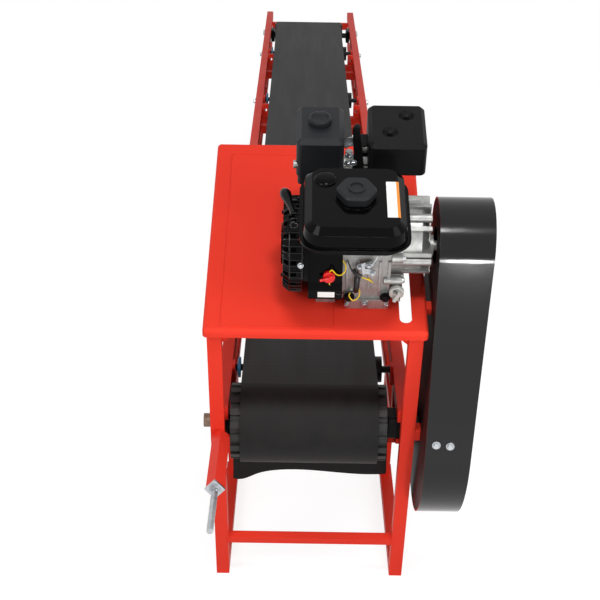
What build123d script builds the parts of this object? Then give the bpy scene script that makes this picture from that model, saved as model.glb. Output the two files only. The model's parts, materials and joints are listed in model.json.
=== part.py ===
# Belt conveyor for firewood: a level truss with a belt, and at its drive end a stand
# whose deck carries a petrol engine above the drive drum.
# Millimetres. +X to the right seen from the drive end, +Y along the belt to the tail, +Z up.
# While it is built, the drum's axis is at y = 0 and the floor at z = 0. At the end every
# piece is moved so that the origin is on the floor under the middle of the whole.
import os
from math import acos, atan2, cos, radians, sin, sqrt

from build123d import *

os.makedirs("parts", exist_ok=True)

# Belt and its drums
BELT_W = 300
BELT_T = 7
BELT_X = -8              # the belt runs a little left of the frame's middle
BELT_TOP = 551
DRUM_R = 84
DRUM_W = BELT_W + 40
DRUM_SKIN = 6            # height of the drum's lagging ribs
DRUM_RIBS = 18
SHAFT_R = 15
TAIL_R = 54
TAIL_W = BELT_W + 16
TAIL_Y = 3968
IDLER_R = 30
IDLER_W = BELT_W + 16
IDLER_COUNT = 5
IDLER_FIRST = 164
IDLER_STEP = 827
RETURN_R = 24
RETURN_Y = (900, 1850, 2796, 3640)
FIT = 0.3                # clearance of pieces that seat on each other

# Truss
TUBE = 30
RAIL_H = 40
BELT_GAP = 34            # from the belt's edge to the rail
RAIL_OUT = BELT_W + 2 * (BELT_GAP + TUBE)
RAIL_TOP = 520
TRUSS_H = 150
RAIL_START = 160
RAIL_END = 4380
SECTION_Y = (620, 1480, 2340, 3200)     # where the truss bolts together
CROSS_GAP = 129
CROSS_Z = 465
PLATE_T = 6
BOLT_HOLE_R = 6.5
WEB = 20
WEB_STEP = 242.5
TAIL_CROSS_IN = 145

# Stand and deck
DECK_PITCH = 20.4        # the deck rises towards the tail
DECK_AHEAD = 77          # the deck's front edge stands this far before the drum
DECK_ABOVE = 348         # and this far above it, both measured square to the deck
LEG_OUT = RAIL_OUT + 14
DECK_W = LEG_OUT + 16
DECK_L = 634
DECK_T = 4
DECK_RIM = 20
LEG_BACK = 10
CROSSBAR = 20
CROSSBAR_H = 110

# Guard over the belt drive, in the deck's directions from the drum's axis
CRANK_T = 150            # the engine's crank, back along the deck and up from it
CRANK_H = 106
GUARD_X = DECK_W / 2 + 3
GUARD_W = 94
GUARD_LEAN_IN = 1.2      # degrees: the guard leans out, its outer side more than its inner one
GUARD_LEAN_OUT = 3.0
GUARD_R_LOW = 193
GUARD_R_TOP = 100
SHEET = 3
PULLEY_X = GUARD_X + 34
PULLEY_R = 176
PULLEY_W = 34
ENGINE_PULLEY_R = 48
BELT_SECTION_W = 12      # the two vee belts
BELT_SECTION_T = 10

# Wheels
WHEEL_R = 165
WHEEL_W = 62
WHEEL_Y = 1900
RIM_R = 120
AXLE_R = 12.5

DRUM_Z = BELT_TOP - BELT_T - DRUM_R
TAIL_Z = BELT_TOP - BELT_T - TAIL_R
IDLER_Z = BELT_TOP - BELT_T - FIT - IDLER_R
RAIL_X = RAIL_OUT / 2 - TUBE / 2
RAIL_IN = RAIL_OUT / 2 - TUBE
CHORD_TOP = RAIL_TOP - TRUSS_H + TUBE
LEG_X = LEG_OUT / 2 - TUBE / 2

across = Vector(1, 0, 0)
along = Vector(0, cos(radians(DECK_PITCH)), sin(radians(DECK_PITCH)))
upright = Vector(0, -sin(radians(DECK_PITCH)), cos(radians(DECK_PITCH)))
DECK_CORNER = Vector(0, 0, DRUM_Z) - along * DECK_AHEAD + upright * DECK_ABOVE
# local x, y, z of this plane: across, back along the deck (t) and square up from it (h)
DECK = Plane(origin=DECK_CORNER, x_dir=across, z_dir=upright)

pieces = {}


def keep(name, builder_part):
    """Store a finished piece under its node's name."""
    builder_part.label = name
    pieces[name] = builder_part


def deck_side(x):
    """Plane square to X at x; its local x runs back along the deck, its local y up from it."""
    return Plane(origin=DECK_CORNER + across * x, x_dir=along, z_dir=(1, 0, 0))


def side(x):
    """Plane square to X at x; its local x is Y and its local y is Z."""
    return Plane(origin=(x, 0, 0), x_dir=(0, 1, 0), z_dir=(1, 0, 0))


def leg_back_y(z):
    """Y of the front legs' back face at the height z."""
    back = DECK_CORNER + along * (LEG_BACK + TUBE)
    return back.Y + (z - back.Z) * upright.Y / upright.Z


def floor_h(t):
    """Height above the deck's plane, negative, at which the point t back meets the floor."""
    return -(DECK_CORNER.Z + t * along.Z) / upright.Z

def round_ends(x1, y1, r1, x2, y2, r2):
    """Edges of a flat form with two round ends: an arc about each centre and their outer tangents."""
    reach = sqrt((x2 - x1) ** 2 + (y2 - y1) ** 2)
    line = atan2(y2 - y1, x2 - x1)
    ends = []
    for a in (line + acos((r1 - r2) / reach), line - acos((r1 - r2) / reach)):
        ends.append(((x1 + r1 * cos(a), y1 + r1 * sin(a)), (x2 + r2 * cos(a), y2 + r2 * sin(a))))
    with BuildLine() as outline:
        Line(ends[0][0], ends[0][1])
        ThreePointArc(ends[0][1], (x2 + r2 * cos(line), y2 + r2 * sin(line)), ends[1][1])
        Line(ends[1][1], ends[1][0])
        ThreePointArc(ends[1][0], (x1 - r1 * cos(line), y1 - r1 * sin(line)), ends[0][0])
    return outline.edges()


# Rails and lower chords
for name, mark in (("left", -1), ("right", 1)):
    with BuildPart() as rail:
        with BuildSketch(side(mark * RAIL_X - TUBE / 2)):
            with Locations(((RAIL_START + RAIL_END) / 2, RAIL_TOP - RAIL_H / 2)):
                Rectangle(RAIL_END - RAIL_START, RAIL_H)
        extrude(amount=TUBE)
        fillet(rail.edges().filter_by(Axis.Y), 3)
    keep(f"rail_{name}", rail.part)

    with BuildPart() as chord:
        with BuildSketch(side(mark * RAIL_X - TUBE / 2)):
            with Locations(((RAIL_START + RAIL_END - TRUSS_H) / 2, CHORD_TOP - TUBE / 2)):
                Rectangle(RAIL_END - RAIL_START - TRUSS_H, TUBE)
        extrude(amount=TUBE)
        fillet(chord.edges().filter_by(Axis.Y), 3)
    keep(f"lower_chord_{name}", chord.part)

# Web bars lean forward and back in turn between chord and rail
WEB_GAP_H = RAIL_TOP - RAIL_H - CHORD_TOP
web_count = int((RAIL_END - RAIL_START - TRUSS_H - WEB_STEP) / WEB_STEP)
with BuildPart() as truss_webs:
    for mark in (-1, 1):
        with BuildSketch(side(mark * RAIL_X - WEB / 2)):
            for i in range(web_count):
                y0 = RAIL_START + WEB_STEP * (i + 0.5)
                lean = WEB_STEP * (0.7 if i % 2 else -0.7)
                with BuildLine():
                    Polyline((y0 - lean / 2, CHORD_TOP), (y0 - lean / 2 + WEB * 1.4, CHORD_TOP),
                             (y0 + lean / 2 + WEB * 1.4, CHORD_TOP + WEB_GAP_H),
                             (y0 + lean / 2, CHORD_TOP + WEB_GAP_H), close=True)
                make_face()
        extrude(amount=WEB)
keep("truss_webs", truss_webs.part)

# Cross members between the rails
with BuildPart() as cross_members:
    for y in [s + d for s in SECTION_Y for d in (0, CROSS_GAP)] + [RAIL_END - TAIL_CROSS_IN]:
        with BuildSketch(Plane(origin=(-RAIL_IN, 0, 0), x_dir=(0, 1, 0), z_dir=(1, 0, 0))):
            with Locations((y, CROSS_Z + TUBE / 2)):
                Rectangle(TUBE, TUBE)
        extrude(amount=2 * RAIL_IN)
keep("cross_members", cross_members.part)

# Bolted plates where the truss sections meet, behind each second cross member
PLATE_W = 24
PLATE_LOW = 430
PLATE_TOP = 535
PLATE_HOLE_Z = 512
with BuildPart() as joint_plates:
    for y in SECTION_Y:
        face_y = y + CROSS_GAP + TUBE / 2
        for mark in (-1, 1):
            with BuildSketch(Plane(origin=(mark * (RAIL_IN - PLATE_W / 2), face_y, 0), x_dir=(-1, 0, 0), z_dir=(0, 1, 0))):
                with Locations((0, (PLATE_LOW + PLATE_TOP) / 2)):
                    Rectangle(PLATE_W, PLATE_TOP - PLATE_LOW)
                with Locations((0, PLATE_HOLE_Z)):
                    Circle(BOLT_HOLE_R, mode=Mode.SUBTRACT)
            extrude(amount=2 * PLATE_T)
keep("joint_plates", joint_plates.part)

# Take-up guides at the near end: two flat bars and an end plate to each side
BLOCK_H = 50
BLOCK_L = 58
BEARING_GAP = 5          # between the drum's shell and each bearing block
GUIDE_BAR = 14
GUIDE_LOW = DRUM_Z - BLOCK_H / 2 - FIT - GUIDE_BAR
GUIDE_SLOT_START = -60
GUIDE_FOOT = RAIL_TOP - TRUSS_H - 8
SHELL_X = BELT_X - 1
for name, mark in (("left", -1), ("right", 1)):
    with BuildPart() as guide:
        with BuildSketch(side(mark * RAIL_X - TUBE / 2)):
            with BuildLine():
                Polyline((leg_back_y(RAIL_TOP), RAIL_TOP), (RAIL_START, RAIL_TOP), (RAIL_START, GUIDE_FOOT),
                         (RAIL_START - TUBE, GUIDE_FOOT), (leg_back_y(GUIDE_LOW), GUIDE_LOW), close=True)
            make_face()
            with Locations(((GUIDE_SLOT_START + RAIL_START - TUBE) / 2, DRUM_Z)):
                Rectangle(RAIL_START - TUBE - GUIDE_SLOT_START, BLOCK_H + 2 * FIT, mode=Mode.SUBTRACT)
        extrude(amount=TUBE)
    keep(f"bearing_guide_{name}", guide.part)

    block_in = mark * SHELL_X + DRUM_W / 2 + BEARING_GAP
    with BuildPart() as bearing:
        with BuildSketch(side(mark * block_in)):
            with Locations((0, DRUM_Z)):
                Rectangle(BLOCK_L, BLOCK_H)
        extrude(amount=mark * (RAIL_OUT / 2 - block_in))
        fillet(bearing.edges().filter_by(Axis.X), 5)
        with BuildSketch(side(mark * RAIL_OUT / 2)):
            with Locations((0, DRUM_Z)):
                Circle(BLOCK_H / 2 - 4)
        extrude(amount=mark * 5)
        with BuildSketch(side(mark * block_in)):
            with Locations((0, DRUM_Z)):
                Circle(SHAFT_R)
        extrude(amount=mark * (RAIL_OUT / 2 - block_in + 5), mode=Mode.SUBTRACT)
    keep(f"drum_bearing_{name}", bearing.part)

# Drive drum with its shaft: ribs of lagging round the shell
SHAFT_LEFT = -RAIL_OUT / 2 - 26
SHAFT_RIGHT = PULLEY_X + PULLEY_W + 4
with BuildPart() as drive_drum:
    with BuildSketch(side(SHELL_X - DRUM_W / 2)):
        with Locations((0, DRUM_Z)):
            Circle(DRUM_R - DRUM_SKIN)
            with PolarLocations(DRUM_R - DRUM_SKIN / 2 - 1.5, DRUM_RIBS):
                Rectangle(DRUM_SKIN + 2, 16)
    extrude(amount=DRUM_W)
    with BuildSketch(side(SHAFT_LEFT)):
        with Locations((0, DRUM_Z)):
            Circle(SHAFT_R)
    extrude(amount=SHAFT_RIGHT - SHAFT_LEFT)
keep("drive_drum", drive_drum.part)

# Tail roller on its spindle, with a bearing block on each rail
with BuildPart() as tail_roller:
    with BuildSketch(side(BELT_X - TAIL_W / 2)):
        with Locations((TAIL_Y, TAIL_Z)):
            Circle(TAIL_R)
    extrude(amount=TAIL_W)
    with BuildSketch(side(-RAIL_IN)):
        with Locations((TAIL_Y, TAIL_Z)):
            Circle(12)
    extrude(amount=2 * RAIL_IN)
keep("tail_roller", tail_roller.part)

# The belt: one closed band round drum and tail roller
belt_rise = TAIL_Z - DRUM_Z
tilt = atan2(belt_rise, TAIL_Y)


def belt_loop(extra):
    """Edges round drum and tail roller: their level top tangent, and the lower one at twice the tilt."""
    r1, r2 = DRUM_R + extra, TAIL_R + extra
    top1, top2 = (0, DRUM_Z + r1), (TAIL_Y, TAIL_Z + r2)
    low1 = (r1 * sin(2 * tilt), DRUM_Z - r1 * cos(2 * tilt))
    low2 = (TAIL_Y + r2 * sin(2 * tilt), TAIL_Z - r2 * cos(2 * tilt))
    with BuildLine() as loop:
        Line(top1, top2)
        ThreePointArc(top2, (TAIL_Y + r2 * cos(tilt), TAIL_Z + r2 * sin(tilt)), low2)
        Line(low2, low1)
        ThreePointArc(low1, (-r1 * cos(tilt), DRUM_Z - r1 * sin(tilt)), top1)
    return loop.edges()


with BuildPart() as conveyor_belt:
    with BuildSketch(side(BELT_X - BELT_W / 2)):
        make_face(belt_loop(BELT_T))
        make_face(belt_loop(FIT), mode=Mode.SUBTRACT)
    extrude(amount=BELT_W)
keep("conveyor_belt", conveyor_belt.part)

# Carrying idlers under the top run, each on a spindle between two upright brackets
BRACKET_X = RAIL_IN - PLATE_T
with BuildPart() as carrying_idlers:
    for i in range(IDLER_COUNT):
        y = IDLER_FIRST + i * IDLER_STEP
        for r, w in ((IDLER_R, IDLER_W), (8, 2 * (BRACKET_X - FIT))):
            with BuildSketch(side(-w / 2)):
                with Locations((y, IDLER_Z)):
                    Circle(r)
            extrude(amount=w)
keep("carrying_idlers", carrying_idlers.part)

with BuildPart() as idler_brackets:
    for i in range(IDLER_COUNT):
        for mark in (-1, 1):
            with BuildSketch(side(mark * BRACKET_X)):
                with Locations((IDLER_FIRST + i * IDLER_STEP, (RAIL_TOP - RAIL_H + IDLER_Z + 14) / 2)):
                    RectangleRounded(36, IDLER_Z + 14 - RAIL_TOP + RAIL_H, 6)
            extrude(amount=mark * PLATE_T)
keep("idler_brackets", idler_brackets.part)

# Return idlers carry the lower run from below, on brackets inside the lower chords


def return_z(y):
    """Height of a return idler's axis: the lower run's underside, less the roller."""
    slope = 2 * tilt
    return DRUM_Z - (DRUM_R + BELT_T + FIT + RETURN_R) / cos(slope) + y * sin(slope) / cos(slope)


with BuildPart() as return_brackets:
    for y in RETURN_Y:
        for mark in (-1, 1):
            low, high = min(RAIL_TOP - TRUSS_H, return_z(y) - 16), max(CHORD_TOP, return_z(y) + 16)
            with BuildSketch(side(mark * BRACKET_X)):
                with Locations((y, (low + high) / 2)):
                    Rectangle(36, high - low)
            extrude(amount=mark * PLATE_T)
keep("return_brackets", return_brackets.part)
with BuildPart() as return_idlers:
    for y in RETURN_Y:
        z = return_z(y)
        for r, w in ((RETURN_R, IDLER_W), (8, 2 * (BRACKET_X - FIT))):
            with BuildSketch(side(-w / 2)):
                with Locations((y, z)):
                    Circle(r)
            extrude(amount=w)
keep("return_idlers", return_idlers.part)

# Tail bearing blocks, one inside each rail
TAIL_BLOCK = 56
with BuildPart() as tail_bearings:
    for mark in (-1, 1):
        with BuildSketch(side(mark * (RAIL_IN - 16))):
            with Locations((TAIL_Y, TAIL_Z)):
                RectangleRounded(TAIL_BLOCK + 20, TAIL_BLOCK, 8)
                Circle(12 + FIT, mode=Mode.SUBTRACT)
        extrude(amount=mark * 16)
keep("tail_bearings", tail_bearings.part)

# Front legs: square tubes hanging square to the deck, cut level at the floor
for name, mark in (("left", -1), ("right", 1)):
    with BuildPart() as leg:
        with BuildSketch(deck_side(mark * LEG_X - TUBE / 2)):
            with BuildLine():
                Polyline((LEG_BACK, -DECK_RIM), (LEG_BACK, floor_h(LEG_BACK)),
                         (LEG_BACK + TUBE, floor_h(LEG_BACK + TUBE)), (LEG_BACK + TUBE, -DECK_RIM), close=True)
            make_face()
        extrude(amount=TUBE)
    keep(f"front_leg_{name}", leg.part)

CROSSBAR_LOW = (CROSSBAR_H - DECK_CORNER.Z - LEG_BACK * along.Z) / upright.Z
with BuildPart() as leg_crossbar:
    with BuildSketch(deck_side(-LEG_X + TUBE / 2)):
        with Locations((LEG_BACK + CROSSBAR / 2, CROSSBAR_LOW + CROSSBAR / 2)):
            Rectangle(CROSSBAR, CROSSBAR)
    extrude(amount=2 * LEG_X - TUBE)
keep("leg_crossbar", leg_crossbar.part)

# Skids on the floor from the front feet to the rear legs, and the rear legs up to the lower chords
LEG_FOOT_Y = (DECK * Pos(0, LEG_BACK + TUBE, floor_h(LEG_BACK + TUBE))).position.Y
SKID_L = 470
REAR_LEG_RUN = 130       # the rear legs' tops stand this far before their feet
REAR_TOP_Z = RAIL_TOP - TRUSS_H
with BuildPart() as skids:
    for mark in (-1, 1):
        with BuildSketch(side(mark * LEG_X - TUBE / 2)):
            with BuildLine():
                Polyline((LEG_FOOT_Y, 0), (LEG_FOOT_Y + SKID_L, 0), (LEG_FOOT_Y + SKID_L, TUBE),
                         (LEG_FOOT_Y - TUBE * along.Z / along.Y, TUBE), close=True)
            make_face()
        extrude(amount=TUBE)
keep("skids", skids.part)
with BuildPart() as rear_legs:
    for mark in (-1, 1):
        with BuildSketch(side(mark * RAIL_X - TUBE / 2)):
            with BuildLine():
                Polyline((LEG_FOOT_Y + SKID_L - 2 * TUBE, TUBE), (LEG_FOOT_Y + SKID_L - TUBE, TUBE),
                         (LEG_FOOT_Y + SKID_L - TUBE - REAR_LEG_RUN, REAR_TOP_Z),
                         (LEG_FOOT_Y + SKID_L - 2 * TUBE - REAR_LEG_RUN, REAR_TOP_Z), close=True)
            make_face()
        extrude(amount=TUBE)
keep("rear_legs", rear_legs.part)

# Deck: a sheet folded down at its edges over a rim of bars, with gussets between the front bar and the legs
PLATE_RIM = DECK_RIM - DECK_T
RIM_BAR = TUBE - DECK_T
FOLD_R = 9
GUSSET = 34
for name, t in (("front", DECK_T + RIM_BAR / 2), ("rear", DECK_L - DECK_T - RIM_BAR / 2)):
    with BuildPart() as deck_bar:
        with BuildSketch(DECK.offset(-DECK_RIM)):
            with Locations((0, t)):
                Rectangle(DECK_W - 2 * TUBE, RIM_BAR)
        extrude(amount=PLATE_RIM)
        if name == "front":
            for mark in (-1, 1):
                x0 = mark * (LEG_X - TUBE / 2)
                with BuildSketch(Plane(origin=DECK_CORNER + along * (LEG_BACK + TUBE / 2), x_dir=across,
                                       z_dir=along * -1)):
                    with BuildLine():
                        Polyline((x0, -DECK_RIM), (x0 - mark * GUSSET, -DECK_RIM), (x0, -DECK_RIM - GUSSET), close=True)
                    make_face()
                extrude(amount=DECK_T)
    keep(f"deck_bar_{name}", deck_bar.part)
for name, mark in (("left", -1), ("right", 1)):
    with BuildPart() as deck_bar:
        with BuildSketch(DECK.offset(-DECK_RIM)):
            with Locations((mark * (DECK_W / 2 - DECK_T - RIM_BAR / 2), DECK_L / 2)):
                Rectangle(RIM_BAR, DECK_L - 2 * DECK_T)
        extrude(amount=PLATE_RIM)
    keep(f"deck_bar_{name}", deck_bar.part)

SLOT_X = DECK_W / 2 - 45         # slot for tightening the engine against its belts
SLOT_W = 25
SLOT_L = 220
SLOT_START = 31
with BuildPart() as deck_plate:
    with BuildSketch(DECK.offset(-DECK_RIM)):
        with Locations((0, DECK_L / 2)):
            Rectangle(DECK_W, DECK_L)
    extrude(amount=DECK_RIM)
    fillet(deck_plate.edges().filter_by(lambda e: abs((e.center() - DECK_CORNER).dot(upright)) < 0.01
                                        or e.length < DECK_RIM + 1), FOLD_R)
    with BuildSketch(DECK.offset(-DECK_RIM)):
        with Locations((0, DECK_L / 2)):
            Rectangle(DECK_W - 2 * DECK_T, DECK_L - 2 * DECK_T)
    extrude(amount=PLATE_RIM, mode=Mode.SUBTRACT)
    with BuildSketch(DECK.offset(-DECK_T)):
        with Locations((SLOT_X, SLOT_START + SLOT_L / 2)):
            SlotOverall(SLOT_L, SLOT_W, rotation=90)
    extrude(amount=DECK_T, mode=Mode.SUBTRACT)
keep("deck_plate", deck_plate.part)

# Posts from the rails up to the deck's rear corners
POST_T = DECK_L - 2 * TUBE


def rail_h(t):
    """Height above the deck's plane, negative, of the rail's top below the point t back."""
    return (RAIL_TOP - DECK_CORNER.Z - t * along.Z) / upright.Z


with BuildPart() as deck_posts:
    for mark in (-1, 1):
        with BuildSketch(deck_side(mark * RAIL_X - TUBE / 2)):
            with BuildLine():
                Polyline((POST_T, -DECK_RIM), (POST_T, rail_h(POST_T)), (POST_T + TUBE, rail_h(POST_T + TUBE)),
                         (POST_T + TUBE, -DECK_RIM), close=True)
            make_face()
        extrude(amount=TUBE)
keep("deck_posts", deck_posts.part)

# Take-up: a square tube on edge in front of the left leg, its end plate, nut and threaded rod
TAKE_UP_X = LEG_X - 8
TAKE_UP_END = -309
ROD_END = -470
ROD_R = 6
NUT_R = 11
NUT_T = 10
TAKE_UP_TUBE = TUBE - 3


def take_up_plane(y):
    """Plane square to Y on the take-up screw's axis, facing the near end."""
    return Plane(origin=(-TAKE_UP_X, y, DRUM_Z), x_dir=(1, 0, 0), z_dir=(0, -1, 0))


with BuildPart() as take_up_tube:
    with BuildSketch(take_up_plane(0)):
        Rectangle(TAKE_UP_TUBE, TAKE_UP_TUBE, rotation=45)
    extrude(amount=-TAKE_UP_END - PLATE_T)
    split(bisect_by=Plane(origin=DECK_CORNER + along * LEG_BACK, z_dir=along * -1))
keep("take_up_tube", take_up_tube.part)
with BuildPart() as take_up_screw:
    with BuildSketch(take_up_plane(TAKE_UP_END + PLATE_T)):
        Rectangle(TUBE, TUBE, rotation=45)
    extrude(amount=PLATE_T)
    with BuildSketch(take_up_plane(TAKE_UP_END)):
        RegularPolygon(NUT_R, 6)
    extrude(amount=NUT_T)
    with BuildSketch(take_up_plane(TAKE_UP_END)):
        Circle(ROD_R)
    extrude(amount=TAKE_UP_END - ROD_END)
keep("take_up_screw", take_up_screw.part)

# Rubber flap below the drum, hung from a cross-bar under the guides' feet; its lower edge sags in waves
FLAP_T = 6
FLAP_BAR_Y = RAIL_START - TUBE + CROSSBAR / 2
FLAP_EDGE = ((176, 263), (149, 261), (34, 267), (-85, 268), (-129, 257), (-159, 244), (-182, 245))
with BuildPart() as flap_bar:
    with BuildSketch(Plane(origin=(-RAIL_IN - TUBE, 0, 0), x_dir=(0, 1, 0), z_dir=(1, 0, 0))):
        with Locations((FLAP_BAR_Y, GUIDE_FOOT - CROSSBAR / 2)):
            Rectangle(CROSSBAR, CROSSBAR)
    extrude(amount=2 * RAIL_IN + 2 * TUBE)
keep("flap_bar", flap_bar.part)
with BuildPart() as rubber_flap:
    with BuildSketch(Plane(origin=(0, FLAP_BAR_Y - CROSSBAR / 2, 0), x_dir=(1, 0, 0), z_dir=(0, -1, 0))):
        with BuildLine():
            Polyline(FLAP_EDGE[-1], (FLAP_EDGE[-1][0], GUIDE_FOOT), (FLAP_EDGE[0][0], GUIDE_FOOT), FLAP_EDGE[0])
            Spline(*FLAP_EDGE)
        make_face()
    extrude(amount=FLAP_T)
keep("rubber_flap", rubber_flap.part)

# Guard: a round-ended box round the belt drive. On its planes x runs along the deck and y up from it
def guard_plane(x, lean):
    """Plane of a guard side through x at the drum's axis, its top leaning out by lean degrees."""
    return Plane(origin=DECK_CORNER + across * x - upright * DECK_ABOVE,
                 x_dir=along, z_dir=across * cos(radians(lean)) - upright * sin(radians(lean)))


GUARD_IN = guard_plane(GUARD_X, GUARD_LEAN_IN)
GUARD_OUT = guard_plane(GUARD_X + GUARD_W, GUARD_LEAN_OUT)
CRANK_Y = CRANK_H + DECK_ABOVE
GUARD_WINDOW = 26        # border of plain sheet round the outer side's expanded mesh
SHAFT_HOLE_R = 40


def guard_edges(inset):
    """The guard's outline, moved in by inset."""
    return round_ends(DECK_AHEAD, 0, GUARD_R_LOW - inset, CRANK_T, CRANK_Y, GUARD_R_TOP - inset)


def guard_depth(x, y):
    """How far the point lies inside the guard's outline."""
    reach_x, reach_y = CRANK_T - DECK_AHEAD, CRANK_Y
    s = min(1, max(0, ((x - DECK_AHEAD) * reach_x + y * reach_y) / (reach_x ** 2 + reach_y ** 2)))
    radius = GUARD_R_LOW + s * (GUARD_R_TOP - GUARD_R_LOW)
    return radius - sqrt((x - DECK_AHEAD - s * reach_x) ** 2 + (y - s * reach_y) ** 2)


with BuildPart() as guard_rim:
    with BuildSketch(guard_plane(GUARD_X - 20, 0)):
        make_face(guard_edges(0))
        make_face(guard_edges(SHEET), mode=Mode.SUBTRACT)
    extrude(amount=GUARD_W + 60)
    split(bisect_by=GUARD_IN)
    split(bisect_by=GUARD_OUT, keep=Keep.BOTTOM)
keep("guard_rim", guard_rim.part)
with BuildPart() as guard_inner:
    with BuildSketch(GUARD_IN):
        make_face(guard_edges(SHEET))
        with Locations((DECK_AHEAD, 0), (CRANK_T, CRANK_Y)):
            Circle(SHAFT_HOLE_R, mode=Mode.SUBTRACT)
    extrude(amount=SHEET)
keep("guard_inner", guard_inner.part)

# The outer side is expanded metal: staggered rows of diamond openings, cut as far out as the border
MESH_LONG = 40           # pitch of the diamonds along a row
MESH_SHORT = 22          # from one row to the next but one
STRAND = 7
mesh_places = []
for row in range(int(-GUARD_R_LOW / (MESH_SHORT / 2)), int((CRANK_Y + GUARD_R_TOP) / (MESH_SHORT / 2)) + 1):
    for column in range(-6, 8):
        x = DECK_AHEAD + (column + 0.5 * (row % 2)) * MESH_LONG
        y = row * MESH_SHORT / 2
        if guard_depth(x, y) > GUARD_WINDOW + MESH_LONG / 4:
            mesh_places.append((x, y))
with BuildPart() as guard_outer:
    with BuildSketch(GUARD_OUT.offset(-SHEET)):
        make_face(guard_edges(SHEET))
        with BuildSketch(mode=Mode.PRIVATE) as diamond:
            long, short = (MESH_LONG - STRAND * 1.6) / 2, (MESH_SHORT - STRAND) / 2
            with BuildLine():
                Polyline((long, 0), (0, short), (-long, 0), (0, -short), close=True)
            make_face()
        with Locations(*mesh_places):
            add(diamond.sketch, mode=Mode.SUBTRACT)
    extrude(amount=SHEET)
keep("guard_outer", guard_outer.part)

# Brackets that carry the guard: one on the right leg, one on the deck's right bar
BRACKET_LEG_H = -316
BRACKET_DECK_T = 90
with BuildPart() as guard_brackets:
    for x, t, h, tall in ((LEG_OUT / 2, LEG_BACK + 12, BRACKET_LEG_H, TUBE),
                          (DECK_W / 2, BRACKET_DECK_T, -DECK_T - PLATE_RIM / 2, PLATE_RIM)):
        with BuildSketch(deck_side(x)):
            with Locations((t, h)):
                Rectangle(24, tall)
        extrude(amount=60)
    split(bisect_by=GUARD_IN, keep=Keep.BOTTOM)
keep("guard_brackets", guard_brackets.part)

# Belt drive: two-groove pulleys on the drum's shaft and the crank, and the two belts between them
GROOVES = [PULLEY_W / 2 + d for d in (-8, 8)]


def pulley_slices(radius):
    """(start, width, radius) across the pulley: a full flange, and a groove as wide as a belt where one runs."""
    edges = [0] + [g + s * (BELT_SECTION_W / 2 + FIT) for g in GROOVES for s in (-1, 1)] + [PULLEY_W]
    return [(start, end - start, radius - BELT_SECTION_T if i % 2 else radius)
            for i, (start, end) in enumerate(zip(edges, edges[1:]))]


PULLEY_RIM_T = 20
HUB_R = 34
SPOKE_W = 26
with BuildPart() as driven_pulley:
    for start, width, radius in pulley_slices(PULLEY_R):
        with BuildSketch(deck_side(PULLEY_X + start)):
            with Locations((DECK_AHEAD, -DECK_ABOVE)):
                Circle(radius)
        extrude(amount=width)
    with BuildSketch(deck_side(PULLEY_X)):
        with Locations((DECK_AHEAD, -DECK_ABOVE)):
            Circle(PULLEY_R - PULLEY_RIM_T)
            with PolarLocations((PULLEY_R - PULLEY_RIM_T + HUB_R) / 2, 4):
                Rectangle(PULLEY_R, SPOKE_W, mode=Mode.SUBTRACT)
            Circle(HUB_R, mode=Mode.SUBTRACT)
    extrude(amount=PULLEY_W, mode=Mode.SUBTRACT)
    with BuildSketch(deck_side(PULLEY_X)):
        with Locations((DECK_AHEAD, -DECK_ABOVE)):
            Circle(SHAFT_R)
    extrude(amount=PULLEY_W, mode=Mode.SUBTRACT)
keep("driven_pulley", driven_pulley.part)
CRANK_R = 10
with BuildPart() as engine_pulley:
    for start, width, radius in pulley_slices(ENGINE_PULLEY_R):
        with BuildSketch(deck_side(PULLEY_X + start)):
            with Locations((CRANK_T, CRANK_H)):
                Circle(radius)
        extrude(amount=width)
    with BuildSketch(deck_side(PULLEY_X)):
        with Locations((CRANK_T, CRANK_H)):
            Circle(CRANK_R)
    extrude(amount=PULLEY_W, mode=Mode.SUBTRACT)
keep("engine_pulley", engine_pulley.part)
BELT_SEAT = BELT_SECTION_T - FIT
with BuildPart() as drive_belts:
    for groove in GROOVES:
        with BuildSketch(deck_side(PULLEY_X + groove - BELT_SECTION_W / 2)):
            make_face(round_ends(DECK_AHEAD, -DECK_ABOVE, PULLEY_R, CRANK_T, CRANK_H, ENGINE_PULLEY_R))
            make_face(round_ends(DECK_AHEAD, -DECK_ABOVE, PULLEY_R - BELT_SEAT, CRANK_T, CRANK_H,
                                 ENGINE_PULLEY_R - BELT_SEAT), mode=Mode.SUBTRACT)
        extrude(amount=BELT_SECTION_W)
keep("drive_belts", drive_belts.part)

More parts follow.
